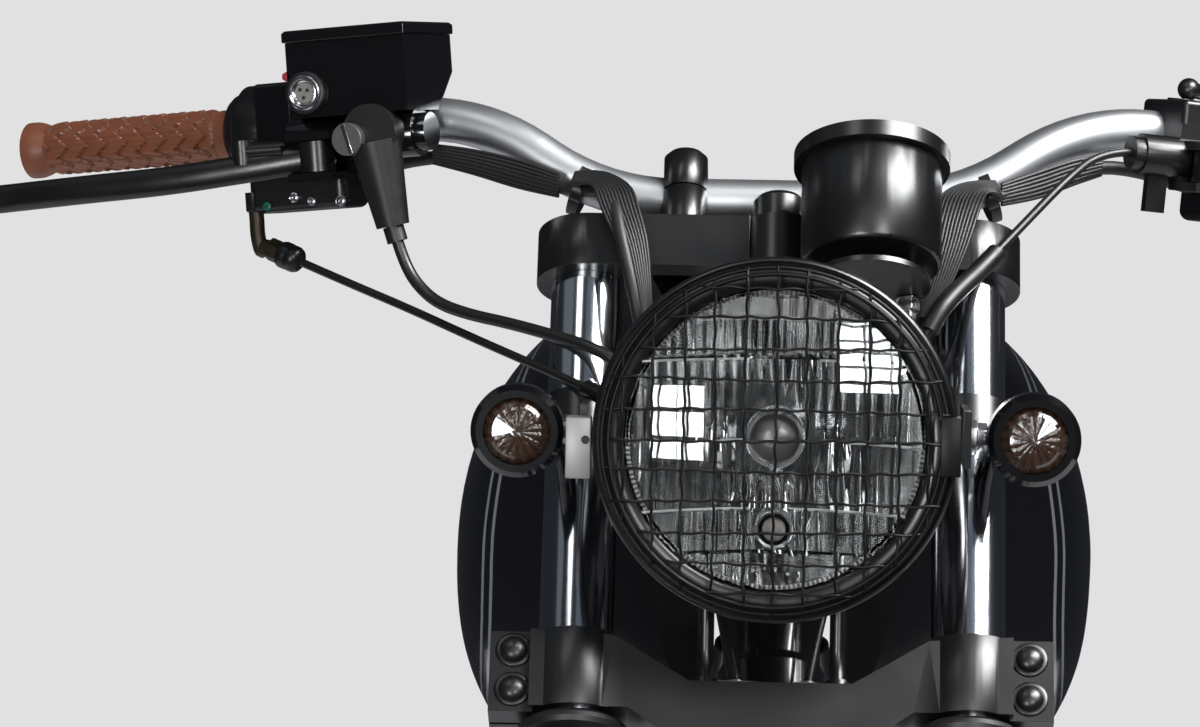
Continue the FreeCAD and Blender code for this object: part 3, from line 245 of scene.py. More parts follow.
def tank_coat():
    """Black paint with two thin grey lines that loop round each flank."""
    black, grey = (0.008, 0.008, 0.009), (0.24, 0.25, 0.26)
    middle, level, half_length, half_height, squareness = 300, 374, 205, 121, 3
    finish = Finish("tank_paint", black, 0.16, Coat_Weight=0.5, Coat_Roughness=0.05)
    along = abs((finish.part("Y") - middle) / half_length)
    up = abs((finish.part("Z") - level) / half_height)
    reach = (along ** squareness + up ** squareness) ** (1 / squareness)
    inside = (1 - reach) * half_length
    lines = inside.within(-1.7, 1.3) + inside.within(8.0, 11.0)
    flank = abs(finish.part("X")) > 60
    finish.feed("Base Color", finish.blend(lines * flank, black, grey))
    finish.coarse(0.2, 0.08, 120)
    return finish.relief(finish.noise(4, 1), 0.008, 0.3)


def polished_chrome():
    finish = Finish("polished_chrome", (0.72, 0.74, 0.78), 0.12, 1.0)
    finish.coarse(0.13, 0.05, 30, 3)
    return finish.relief(finish.noise(0.8, 1, (1, 1, 0.2)), 0.004, 0.3)


def brushed_bar():
    """Satin tube with fine lines of the brush round it."""
    finish = Finish("brushed_bar", (0.66, 0.67, 0.68), 0.42, 1.0)
    lines = finish.noise(1.2, 3, (4, 0.4, 0.4))
    finish.feed("Roughness", lines * 0.12 + 0.36)
    finish.feed("Base Color", finish.blend(finish.noise(45, 2), (0.44, 0.45, 0.46), (0.56, 0.57, 0.58)))
    return finish.relief(lines, 0.01, 0.35)


def plated_steel():
    finish = Finish("plated_steel", (0.55, 0.55, 0.56), 0.28, 1.0)
    finish.coarse(0.3, 0.2, 6, 3)
    return finish.relief(finish.noise(1.5, 2), 0.02, 0.4)


def bright_alloy():
    finish = Finish("bright_alloy", (0.75, 0.76, 0.77), 0.2, 1.0)
    finish.coarse(0.22, 0.12, 5, 2)
    return finish.relief(finish.noise(0.6, 1), 0.01, 0.3)


def grip_rubber():
    """Saddle brown rubber, its roughness and grain varying a little over the surface."""
    finish = Finish("grip_rubber", (0.25, 0.080, 0.036), 0.42, Specular_IOR_Level=0.35)
    shade = finish.noise(18, 3)
    finish.feed("Base Color", finish.blend(shade, (0.19, 0.058, 0.025), (0.30, 0.100, 0.046)))
    finish.feed("Roughness", finish.noise(8, 2) * 0.16 + 0.34)
    return finish.relief(finish.noise(0.7, 2), 0.04, 0.4)


def black_rubber():
    finish = Finish("black_rubber", (0.013, 0.013, 0.014), 0.42)
    finish.coarse(0.42, 0.16, 12, 2)
    return finish.relief(finish.noise(0.9, 2), 0.03, 0.4)


def cord_sheath(name, tone, roughness):
    finish = Finish(name, (tone, tone, tone * 1.04), roughness)
    finish.coarse(roughness, 0.1, 9, 2)
    return finish.relief(finish.noise(1.4, 1), 0.03, 0.4)


def moulded_plastic():
    finish = Finish("moulded_plastic", (0.010, 0.010, 0.011), 0.34)
    finish.coarse(0.34, 0.1, 20, 2)
    return finish.relief(finish.noise(0.5, 1), 0.015, 0.5)


def bronzed_pipe():
    finish = Finish("bronzed_pipe", (0.05, 0.036, 0.02), 0.4, 0.5)
    finish.feed("Base Color", finish.blend(finish.noise(6, 3), (0.020, 0.015, 0.009), (0.085, 0.060, 0.032)))
    finish.coarse(0.42, 0.2, 4, 2)
    return finish


def lamp_mirror():
    """Bright vapour-coated reflector, cloudy here and there, that sparkles round the bulb."""
    finish = Finish("lamp_mirror", (0.5, 0.5, 0.5), 0.10, 1.0)
    cloud = finish.noise(16, 3)
    finish.feed("Base Color", finish.blend(cloud, (0.34, 0.34, 0.34), (0.80, 0.80, 0.79)))
    finish.feed("Roughness", finish.noise(5, 2) * 0.10 + 0.03)
    return finish.relief(finish.noise(9, 1), 0.07, 0.35)


def clear_cover():
    """Clear glass, drawn as a thin sheet that mostly lets through and still mirrors."""
    finish = Finish("clear_glass", (0.02, 0.02, 0.02), 0.01, Alpha=0.08, IOR=1.52)
    return finish.relief(finish.noise(40, 1), 0.02, 0.3)


def lens_glass():
    """Moulded lens glass, clear with faint upright ribs."""
    finish = Finish("lens_glass", (0.96, 0.97, 0.97), 0.01, Transmission_Weight=1.0, IOR=1.5)
    radians_per_mm = 0.44
    ribs = (finish.part("X") * radians_per_mm).wave() * 0.5 + 0.5
    return finish.relief(ribs * finish.noise(26, 1, (1, 1, 0.5)), 0.09, 0.4)


def beaded_edge():
    """The moulded teeth round the lens's edge, coloured dark and light in step with their relief: painted shade and
    highlight on the teeth.
    """
    finish = Finish("beaded_edge", (0.3, 0.3, 0.29), 0.3, 0.6)
    teeth_round = 190
    across, up = finish.part("X"), finish.part("Z") - LAMP.z / MM
    teeth = (across.maths("ARCTAN2", up) * teeth_round).wave() * 0.5 + 0.5
    # Painted shade and highlight: the teeth are coloured dark and light in step with their relief.
    finish.feed("Base Color", finish.blend(teeth, (0.10, 0.10, 0.10), (0.50, 0.50, 0.48)))
    return finish.relief(teeth, 0.4, 0.8)


def smoked_lens():
    """Smoked amber plastic: cuts that run out from the middle under a smooth, glossy face. The cuts are coloured
    darker and lighter with their relief, a painted shade and highlight, over the plastic's own uneven tone.
    """
    low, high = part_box("indicator_lenses")
    radius = (high[2] - low[2]) / 2 / MM
    middle, level = high[0] / MM - radius, (high[2] + low[2]) / 2 / MM
    cuts_round = 17
    finish = Finish("smoked_lens", (0.03, 0.014, 0.009), 0.12, Coat_Weight=1.0, Coat_Roughness=0.02,
                    Coat_IOR=1.6)
    across, up = abs(finish.part("X")) - middle, finish.part("Z") - level
    rays = (across.maths("ARCTAN2", up) * cuts_round).wave() * 0.5 + 0.5
    # Part painted: the wave along the cuts makes them darker and lighter as their facets would catch the light,
    # painted shade and highlight; the noise is the plastic's own uneven tone.
    cut_shade_and_tone = rays * 0.35 + finish.noise(2.6, 3) * 0.85
    finish.feed("Base Color", finish.blend(cut_shade_and_tone, (0.006, 0.004, 0.004), (0.105, 0.056, 0.034)))
    return finish.relief(cut_shade_and_tone, 0.5, 0.9)


def dial_face():
    finish = Finish("dial_face", (0.012, 0.012, 0.013), 0.5)
    return finish.relief(finish.noise(0.8, 1), 0.01, 0.3)


def plain(name, colour, roughness, metallic=0.0):
    finish = Finish(name, colour, roughness, metallic)
    return finish.coarse(roughness, 0.08, 10)


satin_black = powder_coat("satin_black", 0.009, 0.30, 1.6)
cast_black = powder_coat("cast_black", 0.009, 0.36, 2.4)
frame_paint = gloss_coat("frame_paint", 0.010, 0.24)
gloss_black = gloss_coat("gloss_black", 0.007, 0.16)
wire_black = guard_wire()
tank_paint = tank_coat()
chrome = polished_chrome()
bar_steel = brushed_bar()
bare_steel = plated_steel()
plate_steel = plain("plate_steel", (0.36, 0.36, 0.34), 0.45, 0.35)
alloy = bright_alloy()
brown_rubber = grip_rubber()
rubber = black_rubber()
hose_rubber = cord_sheath("hose_rubber", 0.016, 0.36)
cable_sheath = cord_sheath("cable_sheath", 0.012, 0.42)
loom_sleeve = cord_sheath("loom_sleeve", 0.018, 0.5)
plastic = moulded_plastic()
bronze = bronzed_pipe()
mirror = lamp_mirror()
glass = clear_cover()
lens = lens_glass()
beading = beaded_edge()
smoked = smoked_lens()
dial = dial_face()
white_mark = plain("white_mark", (0.7, 0.7, 0.68), 0.5)
red_mark = plain("red_mark", (0.45, 0.03, 0.05), 0.4)
green_mark = plain("green_mark", (0.01, 0.20, 0.12), 0.35)
collar_brown = plain("collar_brown", (0.17, 0.045, 0.022), 0.4)
reticle = plain("reticle", (0.30, 0.29, 0.26), 0.4)
# Near black for the clip's hole and the plug's slot, where it is painted shade, and for the small marks on the sight
# glass.
gap_shade_and_marks = plain("gap_shade_and_marks", (0.006, 0.006, 0.006), 0.6)
slotted_metal = plain("slotted_metal", (0.13, 0.13, 0.12), 0.42, 0.3)
steel_face = plain("steel_face", (0.22, 0.21, 0.20), 0.34, 0.7)
# Painted highlight: plain white that stands in for the glint on the reflector's step faces.
painted_step_glint = plain("painted_step_glint", (0.72, 0.72, 0.72), 0.4)
filament_glass = plain("filament_glass", (0.30, 0.27, 0.25), 0.1)

NODE_FINISH = {
    "head_tube": frame_paint, "backbone_tube": frame_paint, "rear_bolt_sleeve": frame_paint,
    "down_tube_right": frame_paint, "down_tube_left": frame_paint, "head_gusset": frame_paint,
    "fuel_tank": tank_paint, "tank_cap": satin_black, "tank_mounts": rubber, "fuel_tap": alloy,
    "steering_stem": bare_steel, "stem_nut": bare_steel, "head_bearings": bare_steel,
    "upper_yoke": satin_black, "lower_yoke": cast_black, "ignition_barrel": satin_black,
    "fork_tubes": chrome, "fork_caps": satin_black, "fork_gaiters": rubber,
    "fork_slider_right": satin_black, "fork_slider_left": satin_black,
    "handlebar": bar_steel, "bar_risers": satin_black, "riser_caps": satin_black,
    "grip_right": brown_rubber, "grip_left": brown_rubber,
    "lamp_shell": satin_black, "lamp_rim": satin_black, "lamp_lens": glass, "lamp_reflector": mirror,
    "lamp_bulb_shield": chrome, "lamp_grille": satin_black, "lamp_brackets": satin_black,
    "lamp_stays": satin_black, "indicator_housings": gloss_black, "indicator_lenses": smoked,
    "pod_body": satin_black, "pod_bezel": satin_black, "pod_dial": dial, "pod_glass": glass,
    "pod_bracket": satin_black, "switch_housing_right": plastic, "switch_housing_left": plastic,
    "throttle_elbow": bronze, "brake_hose_boot": rubber, "master_cylinder": gloss_black,
    "reservoir_cap": gloss_black, "sight_glass": alloy, "brake_lever": satin_black,
    "clutch_lever": satin_black, "clutch_perch": cast_black,
    "brake_hose": hose_rubber, "throttle_cable": cable_sheath, "clutch_cable": cable_sheath,
    "loom_right": loom_sleeve, "loom_left": loom_sleeve, "cable_ties": rubber,
    "yoke_union": bare_steel, "cable_guide": bare_steel,
}
for name, finish in NODE_FINISH.items():
    materials = nodes[name].data.materials
    if materials:
        for i in range(len(materials)):
            materials[i] = finish.material
    else:
        materials.append(finish.material)


# ---- Ways to make a piece

def alone():
    """Leaves nothing selected, so that the next piece is worked on alone."""
    bpy.ops.object.select_all(action="DESELECT")


def settle(piece, name, finish, body, matrix=None, smooth=35):
    """Names a finished piece, puts its place into its mesh and lets it ride on a body."""
    piece.name = name
    if matrix is not None:
        piece.matrix_world = matrix @ piece.matrix_world
    alone()
    piece.select_set(True)
    bpy.context.view_layer.objects.active = piece
    bpy.ops.object.transform_apply(location=True, rotation=True, scale=True)
    if smooth:
        bpy.ops.object.shade_smooth_by_angle(angle=math.radians(smooth))
    piece.data.materials.clear()
    piece.data.materials.append(finish.material)
    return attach(piece, body)


def eased(name, width):
    """A copy of a CAD node, merged and with its edges eased by a width in millimetres, that takes its place."""
    piece = bpy.data.objects.new(name + "_eased", nodes[name].data.copy())
    bpy.context.scene.collection.objects.link(piece)
    alone()
    piece.select_set(True)
    bpy.context.view_layer.objects.active = piece
    piece.modifiers.new("merge", "WELD").merge_threshold = 1e-6
    bpy.ops.object.modifier_apply(modifier="merge")
    ease = piece.modifiers.new("edges", "BEVEL")
    ease.width, ease.segments, ease.limit_method = width * MM, 2, "ANGLE"
    ease.angle_limit = math.radians(50)
    ease.harden_normals = True
    bpy.ops.object.modifier_apply(modifier="edges")
    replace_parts(settle(piece, name + "_eased", NODE_FINISH[name], "steering", smooth=0), name)


def lathe(profile, segments=64):
    """A turned piece about Z: a ring drawn out, ring by ring, to each (radius, height)."""
    alone()
    radius, height = profile[0]
    bpy.ops.mesh.primitive_circle_add(vertices=segments, radius=radius, location=(0, 0, height))
    piece = bpy.context.object
    bpy.ops.object.transform_apply(location=True)
    bpy.ops.object.mode_set(mode="EDIT")
    for next_radius, next_height in profile[1:]:
        grow = next_radius / radius
        bpy.ops.mesh.extrude_edges_move(TRANSFORM_OT_translate={"value": (0, 0, next_height - height)})
        bpy.ops.transform.resize(value=(grow, grow, 1), center_override=(0, 0, next_height))
        radius, height = next_radius, next_height
    bpy.ops.mesh.select_all(action="SELECT")
    bpy.ops.mesh.remove_doubles(threshold=1e-4)
    bpy.ops.mesh.normals_make_consistent(inside=False)
    bpy.ops.object.mode_set(mode="OBJECT")
    return piece


def turned(name, rings, segments, finish, matrix, smooth=40):
    """A finished turned piece on the steering."""
    return settle(lathe(rings, segments), name, finish, "steering", matrix, smooth)


def joined(pieces):
    """Several pieces made one."""
    alone()
    for piece in pieces:
        piece.select_set(True)
    bpy.context.view_layer.objects.active = pieces[0]
    bpy.ops.object.join()
    return pieces[0]


def aim(origin, heading):
    """The matrix that stands a piece at a point with its Z along a heading, in millimetres."""
    turn = heading.normalized().to_track_quat("Z", "Y").to_matrix().to_4x4()
    return Matrix.Translation(origin) @ turn @ Matrix.Scale(MM, 4)


def wire(name, runs, radius, finish, body, closed=False, steps=2):
    """Round wire along runs of points in metres, as one curve."""
    curve = bpy.data.curves.new(name, "CURVE")
    curve.dimensions = "3D"
    curve.bevel_depth = radius * MM
    curve.bevel_resolution = steps
    curve.use_fill_caps = True
    for points in runs:
        spline = curve.splines.new("POLY")
        spline.points.add(len(points) - 1)
        for point, at in zip(spline.points, points):
            point.co = (*at, 1)
        spline.use_cyclic_u = closed
        spline.use_smooth = True
    piece = bpy.data.objects.new(name, curve)
    bpy.context.scene.collection.objects.link(piece)
    curve.materials.append(finish.material)
    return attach(piece, body)


EDGES = {"reservoir_cap": 0.8, "master_cylinder": 1.4, "upper_yoke": 1.2, "lower_yoke": 1.6, "pod_body": 0.8,
         "bar_risers": 1.0, "riser_caps": 1.0, "switch_housing_right": 1.0, "switch_housing_left": 1.0,
         "clutch_perch": 1.2}
for name, width in EDGES.items():
    eased(name, width)


# ---- Cords

def cord(name, points, diameter, finish):
    """A hose, cable or loom on one smooth curve through its route."""
    curve = bpy.data.curves.new(name + "_line", "CURVE")
    curve.dimensions = "3D"
    curve.bevel_depth = diameter / 2 * MM
    curve.bevel_resolution = 4
    curve.resolution_u = 10
    curve.use_fill_caps = True
    spline = curve.splines.new("NURBS")
    spline.points.add(len(points) - 1)
    for point, at in zip(spline.points, points):
        point.co = (*at, 1)
    spline.order_u = 3
    spline.use_endpoint_u = True
    piece = bpy.data.objects.new(name + "_line", curve)
    bpy.context.scene.collection.objects.link(piece)
    curve.materials.append(finish.material)
    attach(piece, "steering")
    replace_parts(piece, name)
    return piece


def route(*points):
    return [head(*point) for point in points]


HOSE = [hand(-131, 49.5, -70)] + route(
    (-214, 45.5, 129), (-206.5, 41.5, 116.5), (-194, 34, 106), (-175, 19.5, 100.5), (-152, 1, 97),
    (-127, -22, 92), (-98, -42, 85), (-74, -46, 68), (-56, -44, 42), (-45, -46, 8), (-36, -54, -26),
    (-27, -74, -58), (-20, -95, -94.5))
THROTTLE = route((-279, 104, 126), (-247, 84, 114), (-212, 55, 102), (-177, 22, 89), (-145, -12, 78),
                 (-121, -38, 70), (-105, -55, 64))
CLUTCH = [left(hand(-150, 34, -13.5))] + route(
    (182, 48, 198), (162, 36, 182), (138, 8, 158), (112, -21, 132), (91, -42, 112), (76, -50, 86),
    (62, -50, 54), (50, -47, 14), (38, -54, -24), (27, -74, -58), (20, -95, -94.5))
LOOM_RIGHT = [hand(-85.3, 0, -29), hand(-100, 0, -27), hand(-120, 2, -23)] + route(
    (-184, 75, 190), (-152, 57, 181), (-124, 44, 172), (-106, 30, 172), (-96, 10, 173), (-92, -9, 164),
    (-88, -22, 146), (-82, -30, 124), (-78, -32, 106), (-74, -25, 88), (-64, -10, 75), (-49, -4, 66),
    (-35, -6, 60), (-25, -14, 55), (-20, -27, 52), (-20, -41.5, 52))
LOOM_LEFT = [left(hand(-93.3, 0, -29)), left(hand(-109, 1, -27)), left(hand(-127, 3, -23))] + route(
    (182, 74, 190), (153, 58, 181), (126, 44, 172), (112, 30, 172), (106, 10, 173), (103, -9, 163),
    (99, -22, 145), (92, -30, 123), (83, -32, 106), (76, -26, 87), (70, -13, 75), (55, -4, 66),
    (37, -6, 60), (26, -14, 55), (20, -27, 52), (20, -41.5, 52))

cord("brake_hose", HOSE, 7, hose_rubber)
cord("throttle_cable", THROTTLE, 5, cable_sheath)
cord("clutch_cable", CLUTCH, 5, cable_sheath)
cord("loom_right", LOOM_RIGHT, 8, loom_sleeve)
cord("loom_left", LOOM_LEFT, 8, loom_sleeve)


# ---- Headlamp

def lamp_glass():
    """The domed lens as a closed shell of clear glass, with its toothed edge."""
    edge, ball, front, thick, count = 81.0, 380.0, 1.0, 3.0, 14
    sag = [ball - math.sqrt(ball ** 2 - (edge * i / count) ** 2) for i in range(count + 1)]
    shell = [(edge * i / count + 0.02, front - thick - sag[i]) for i in range(count + 1)]
    shell += [(edge * i / count + 0.02, front - sag[i]) for i in range(count, -1, -1)]
    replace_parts(turned("lens_cover", shell, 128, lens, ON_LAMP), "lamp_lens")
    rim = front - sag[-1]
    teeth = [(edge, rim - 3.4), (edge - 0.4, rim - 2.2), (edge - 2.6, rim - 2.5)]
    turned("lens_teeth", teeth, 192, beading, ON_LAMP, 60)


STEP_LINES = (-61, -40, -3.5, 41.5, 66)
STEP_RISE = (1.2, 3.4, 0.6, 3.0, 0.8, 2.6)
FLUTE_PITCH = (9.0, 6.4, 8.2, 7.2, 5.8, 8.0)


def dish(across, up, zone):
    """How far the fluted reflector stands behind the lens, in millimetres."""
    radius = math.hypot(across, up)
    pitch = FLUTE_PITCH[zone]
    column = math.floor(across / pitch)
    share = across / pitch - column
    tilt = math.sin(column * 12.9 + zone * 7.7)
    curl = 0.8 + 0.45 * math.sin(column * 5.3 + zone * 3.1)
    flute = curl * (1 - (2 * share - 1) ** 2) + 0.9 * tilt * (share - 0.5)
    glint = 1 + 1.8 * math.exp(-((radius - 33) / 9) ** 2) * (up < 6)
    fade = min(1, max(0, (radius - 18) / 12))
    return -70 + 58 * (radius / 80) ** 2 + STEP_RISE[zone] + flute * glint * fade


def lamp_bowl():
    """The reflector: a dish in level steps with upright flutes, white wires on the step lines as a painted highlight,
    a collar round the bulb and a side bulb.
    """
    half, row_step, column_step = 80.0, 2.6, 1.15
    rows, up = [], -half
    while up < half:
        rows.append((up, sum(up > line for line in STEP_LINES)))
        for i, line in enumerate(STEP_LINES):
            if up < line <= up + row_step:
                rows += [(line - 0.1, i), (line + 0.1, i + 1)]
        up += row_step
    columns = [-half + column_step * i for i in range(140)]
    points, faces, index = [], [], {}
    for j, (up, zone) in enumerate(rows):
        for i, across in enumerate(columns):
            if 12 < math.hypot(across, up) < 82:
                index[i, j] = len(points)
                points.append(ON_LAMP @ Vector((across, up, dish(across, up, zone))))
    for j in range(len(rows) - 1):
        for i in range(len(columns) - 1):
            corners = [(i, j), (i + 1, j), (i + 1, j + 1), (i, j + 1)]
            if all(corner in index for corner in corners):
                faces.append([index[corner] for corner in corners])
    mesh = bpy.data.meshes.new("reflector_dish")
    mesh.from_pydata(points, [], faces)
    bowl = bpy.data.objects.new("reflector_dish", mesh)
    bpy.context.scene.collection.objects.link(bowl)
    settle(bowl, "reflector_dish", mirror, "steering", smooth=32)
    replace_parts(bowl, "lamp_reflector")
    band = [(81.6, -8.5), (81.4, -14), (80.5, -22), (83, -24)]
    turned("reflector_band", band, 96, mirror, ON_LAMP, 60)
    ring = [(16.0, -64), (16.2, -21), (15.4, -19.6), (13.8, -19.6), (13.0, -21)]
    turned("bulb_ring", ring, 48, alloy, ON_LAMP)
    cap = [(13.0, -21), (12.8, -27), (9, -25.2), (4, -24.2), (0.1, -24)]
    turned("bulb_cap", cap, 48, steel_face, ON_LAMP)
    # White wires laid just in front of the dish on the step lines: a painted highlight for the glint of the step
    # faces.
    edges = []
    for up, first, last in ((41.5, -72, -15), (41.5, 24, 64), (-3.5, -34, -17), (-3.5, 40, 79), (-40, -71, -14),
                            (-40, 8, 70)):
        edges.append([ON_LAMP @ Vector((x, up, dish(x, up, 2) + 3.2)) for x in
                      [first + (last - first) * i / 24 for i in range(25)]])
    wire("reflector_step_highlights", edges, 0.7, painted_step_glint, "steering", steps=1)
    low = ON_LAMP @ Matrix.Translation((0, -49.5, 0))
    hole = [(10.5, -52), (10.5, -24), (9.8, -23), (8.6, -23.4), (8.4, -40)]
    turned("side_bulb_hole", hole, 40, alloy, low)
    bulb = [(5.5, -38), (6.8, -28), (6.0, -21), (3.6, -18), (0.1, -17)]
    turned("side_bulb", bulb, 32, filament_glass, low, 60)


def crimped_grille():
    """The stone guard: wires crimped over and under each other, held in a ring inside the lamp's rim."""
    pitch, radius, reach = 16.5, 0.86, LAMP_RING_R - 5.5
    count = int(reach / pitch)
    runs = []
    for step in range(-count, count + 1):
        off = step * pitch
        half = math.sqrt(reach ** 2 - off ** 2) + 1
        samples = max(10, int(half * 2 / 1.9))
        for upright in (False, True):
            run = []
            for i in range(samples + 1):
                t = -half + 2 * half * i / samples
                turn = 1 if (step % 2 == 0) == upright else -1
                lift = math.cos(math.pi * t / pitch) * turn
                drift = 0.6 * math.sin(step * 2.1 + t / 31)
                drift += 0.42 * math.sin(math.tau * t / pitch + step) * turn
                sink = 3.0 * max(0, (math.hypot(off, t) - 80) / 14) ** 2
                across, up = (off + drift, t) if upright else (t, off + drift)
                run.append(ON_LAMP @ Vector((across, up, 4.6 + lift * 0.95 - sink)))
            runs.append(run)
    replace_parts(wire("guard_wires", runs, radius, wire_black, "steering", steps=1), "lamp_grille")
    rings = []
    for ring_radius, front in ((LAMP_RING_R - 5.6, 1.4), (LAMP_RING_R - 9.2, 3.4)):
        rings.append([ON_LAMP @ Vector((ring_radius * math.cos(a), ring_radius * math.sin(a), front))
                      for a in (math.tau * i / 96 for i in range(96))])
    wire("guard_rings", rings, 1.2, wire_black, "steering", closed=True)
    r = LAMP_RING_R
    rim = [(r - 17.2, -9.5), (r - 16.8, -5.4), (r - 15.6, -4.2), (r - 10, -3.4), (r - 6.4, -4.6),
           (r - 4.6, -7.5), (r - 4.0, -7.6), (r - 3.4, -4.2), (r - 2.2, -2.6), (r - 0.9, -3.2), (r - 0.1, -5.6),
           (r - 0.1, -9), (r - 1.2, -14), (r - 3.5, -17), (r - 12, -17)]
    rim = settle(lathe(rim, 160), "rim_band", satin_black, "steering", ON_LAMP, 60)
    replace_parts(rim, "lamp_rim")


def block(name, low, high, matrix, finish, edge=0.8):
    """A plate between two corners in millimetres, with its edges eased."""
    alone()
    bpy.ops.mesh.primitive_cube_add(size=1, location=[(a + b) / 2 for a, b in zip(low, high)])
    piece = bpy.context.object
    piece.scale = [b - a for a, b in zip(low, high)]
    bpy.ops.object.transform_apply(location=True, rotation=True, scale=True)
    ease = piece.modifiers.new("edges", "BEVEL")
    ease.width, ease.segments = edge, 2
    bpy.ops.object.modifier_apply(modifier="edges")
    settle(piece, name, finish, "steering", matrix, 40)


def lamp_clips():
    """The steel and the black plate that hold the guard to the ears, and the nuts on the indicators' stems."""
    block("clip_right", (-113, -22.5, -26.4), (-99.4, 10.5, -4.5), ON_LAMP, plate_steel)
    # A near-black disc in the steel clip where its hole is: painted shade in the hole.
    hole = [(2.3, -4.4), (2.3, -4.1), (1.6, -4.2), (0.1, -4.2)]
    hole_at = ON_LAMP @ Matrix.Translation((-102.2, -1.4, 0))
    turned("clip_hole_shade", hole, 24, gap_shade_and_marks, hole_at, 30)
    block("clip_left", (88.6, -17.5, -14), (99.6, 14.5, 5.2), ON_LAMP, wire_black)
    stem_back = 66
    nuts = [hex_nut(LAMP + Vector((x, stem_back, 0)) * MM, Vector((1, 0, 0)), wide, long)
            for x, wide, long in ((106, 17.5, 4.6), (110.6, 14, 5.2), (-116.4, 14.5, 4.8))]
    settle(joined(nuts), "clip_bolts", bare_steel, "steering")


lamp_glass()
lamp_bowl()
crimped_grille()


# ---- Grips

def grip(name, mirror_it):
    """A moulded grip: a round flange, chevron scales between two plain bands, and a collar."""
    rings = []
    length, core = GRIP_LENGTH, 13.7
    scales_from, scales_to = 1, 115
    count = 150
    for i in range(count + 1):
        out = (length + GRIP_INNER) * i / count - GRIP_INNER
        radius = core
        if out < scales_from:
            radius = core + 0.9
        if out > scales_to:
            share = (out - scales_to) / (length - scales_to)
            radius = core + 3.0 * math.sin(min(1, share * 1.25) * math.pi / 2)
        rings.append((radius, out))
    rings += [(16.6, length + 1.2), (15.0, length + 1.9), (11.0, length + 1.95), (6.8, length + 1.95)]
    piece = lathe(rings, 160)
    pitch, rows = 13.1, 7
    for vertex in piece.data.vertices:
        out, angle = vertex.co.z, math.atan2(vertex.co.y, vertex.co.x)
        if scales_from < out < scales_to:
            zigzag = abs(((angle / math.tau * rows) % 1) * 2 - 1)
            tooth = ((out - scales_from) / pitch + zigzag * 0.62) % 1
            valley = min(1, abs(zigzag - 0.5) * 5)
            fade = min(1, (out - scales_from) / 3, (scales_to - out) / 3)
            raise_by = (2.3 * (1 - tooth) ** 0.9 * (0.45 + 0.55 * valley)) * fade
            radius = math.hypot(vertex.co.x, vertex.co.y)
            vertex.co.x *= (radius + raise_by) / radius
            vertex.co.y *= (radius + raise_by) / radius
    place = frame_at(GRIP_START, FORWARD, OUT.cross(FORWARD), OUT)
    if mirror_it:
        place = Matrix.Scale(-1, 4, (1, 0, 0)) @ place
    settle(piece, name + "_rubber", brown_rubber, "steering", place, 50)
    if mirror_it:
        piece.data.flip_normals()
    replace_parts(piece, name)
    line = [(14.0, -GRIP_INNER + 0.2), (15.6, -GRIP_INNER + 0.4), (15.6, -GRIP_INNER + 1.8),
            (14.0, -GRIP_INNER + 2.4)]
    turned(name + "_line", line, 64, collar_brown, place)
    shoulder = [(14.8, -GRIP_INNER + 7), (17.5, -GRIP_INNER + 6.6), (20.5, -GRIP_INNER + 4.6),
                (22.6, -GRIP_INNER + 2), (23.6, -GRIP_INNER - 1.2)]
    turned(name + "_shoulder", shoulder, 64, plastic, place, 60)


grip("grip_right", False)
grip("grip_left", True)


# ---- Bolts, studs and small fittings

def dome_bolt(name, at, heading, radius, finish):
    """A button head with its hexagon socket."""
    rings = [(radius, 0), (radius, 1.4), (radius * 0.86, radius * 0.36), (radius * 0.62, radius * 0.5),
             (radius * 0.45, radius * 0.53), (radius * 0.43, radius * 0.2), (0.1, radius * 0.2)]
    turned(name, rings, 36, finish, aim(at, heading))


def hex_nut(at, heading, across, height, spin=0.0):
    """A plain hexagon nut with its corners turned off."""
    alone()
    bpy.ops.mesh.primitive_cylinder_add(vertices=6, radius=across / math.sqrt(3), depth=height,
                                        location=(0, 0, height / 2), rotation=(0, 0, spin))
    piece = bpy.context.object
    bevel = piece.modifiers.new("edges", "BEVEL")
    bevel.width, bevel.segments = across * 0.05, 2
    bpy.ops.object.modifier_apply(modifier="edges")
    piece.matrix_world = aim(at, heading) @ piece.matrix_world
    return piece


def yoke_bolts():
    """The lower yoke's domed pinch bolts on their raised pads, and a sleeve in the upper yoke's notch."""
    dome = [(7.6, 0), (7.6, 1.2), (7.0, 2.6), (5.6, 4.0), (3.4, 5.0), (0.1, 5.4)]
    pad = [(10.0, -1), (10.0, 0.5), (9.2, 1.1), (7.4, 1.1)]
    for side, sign in (("right", -1), ("left", 1)):
        for i, w in enumerate((-121, -144)):
            at = aim(steer(sign * (FORK_X + 33), FORK_Y - 18, w), -STEER_BACK)
            for kind, rings in (("pinch_bolt", dome), ("bolt_pad", pad)):
                turned("%s_%s_%d" % (kind, side, i + 1), rings, 40, cast_black, at, 60)
    sleeve = [(15.3, -17), (19.6, -17), (19.6, 14.5), (15.3, 14.5)]
    sleeve_at = ON_STEERING @ Matrix.Translation((0, -62, 126))
    turned("barrel_sleeve", sleeve, 48, satin_black, sleeve_at)


def pod_nuts():
    """Two stacks of washer, nut and bolt end under the pod's bracket, each turned its own way."""
    nuts = []
    for x in (72, 40):
        for down, across, height in ((0, 15, 1.2), (1.2, 12, 6), (7.2, 8, 5)):
            nuts.append(hex_nut(steer(x, -98, 78 - down), -STEER_UP, across, height, spin=x))
    settle(joined(nuts), "pod_nuts", bare_steel, "steering")


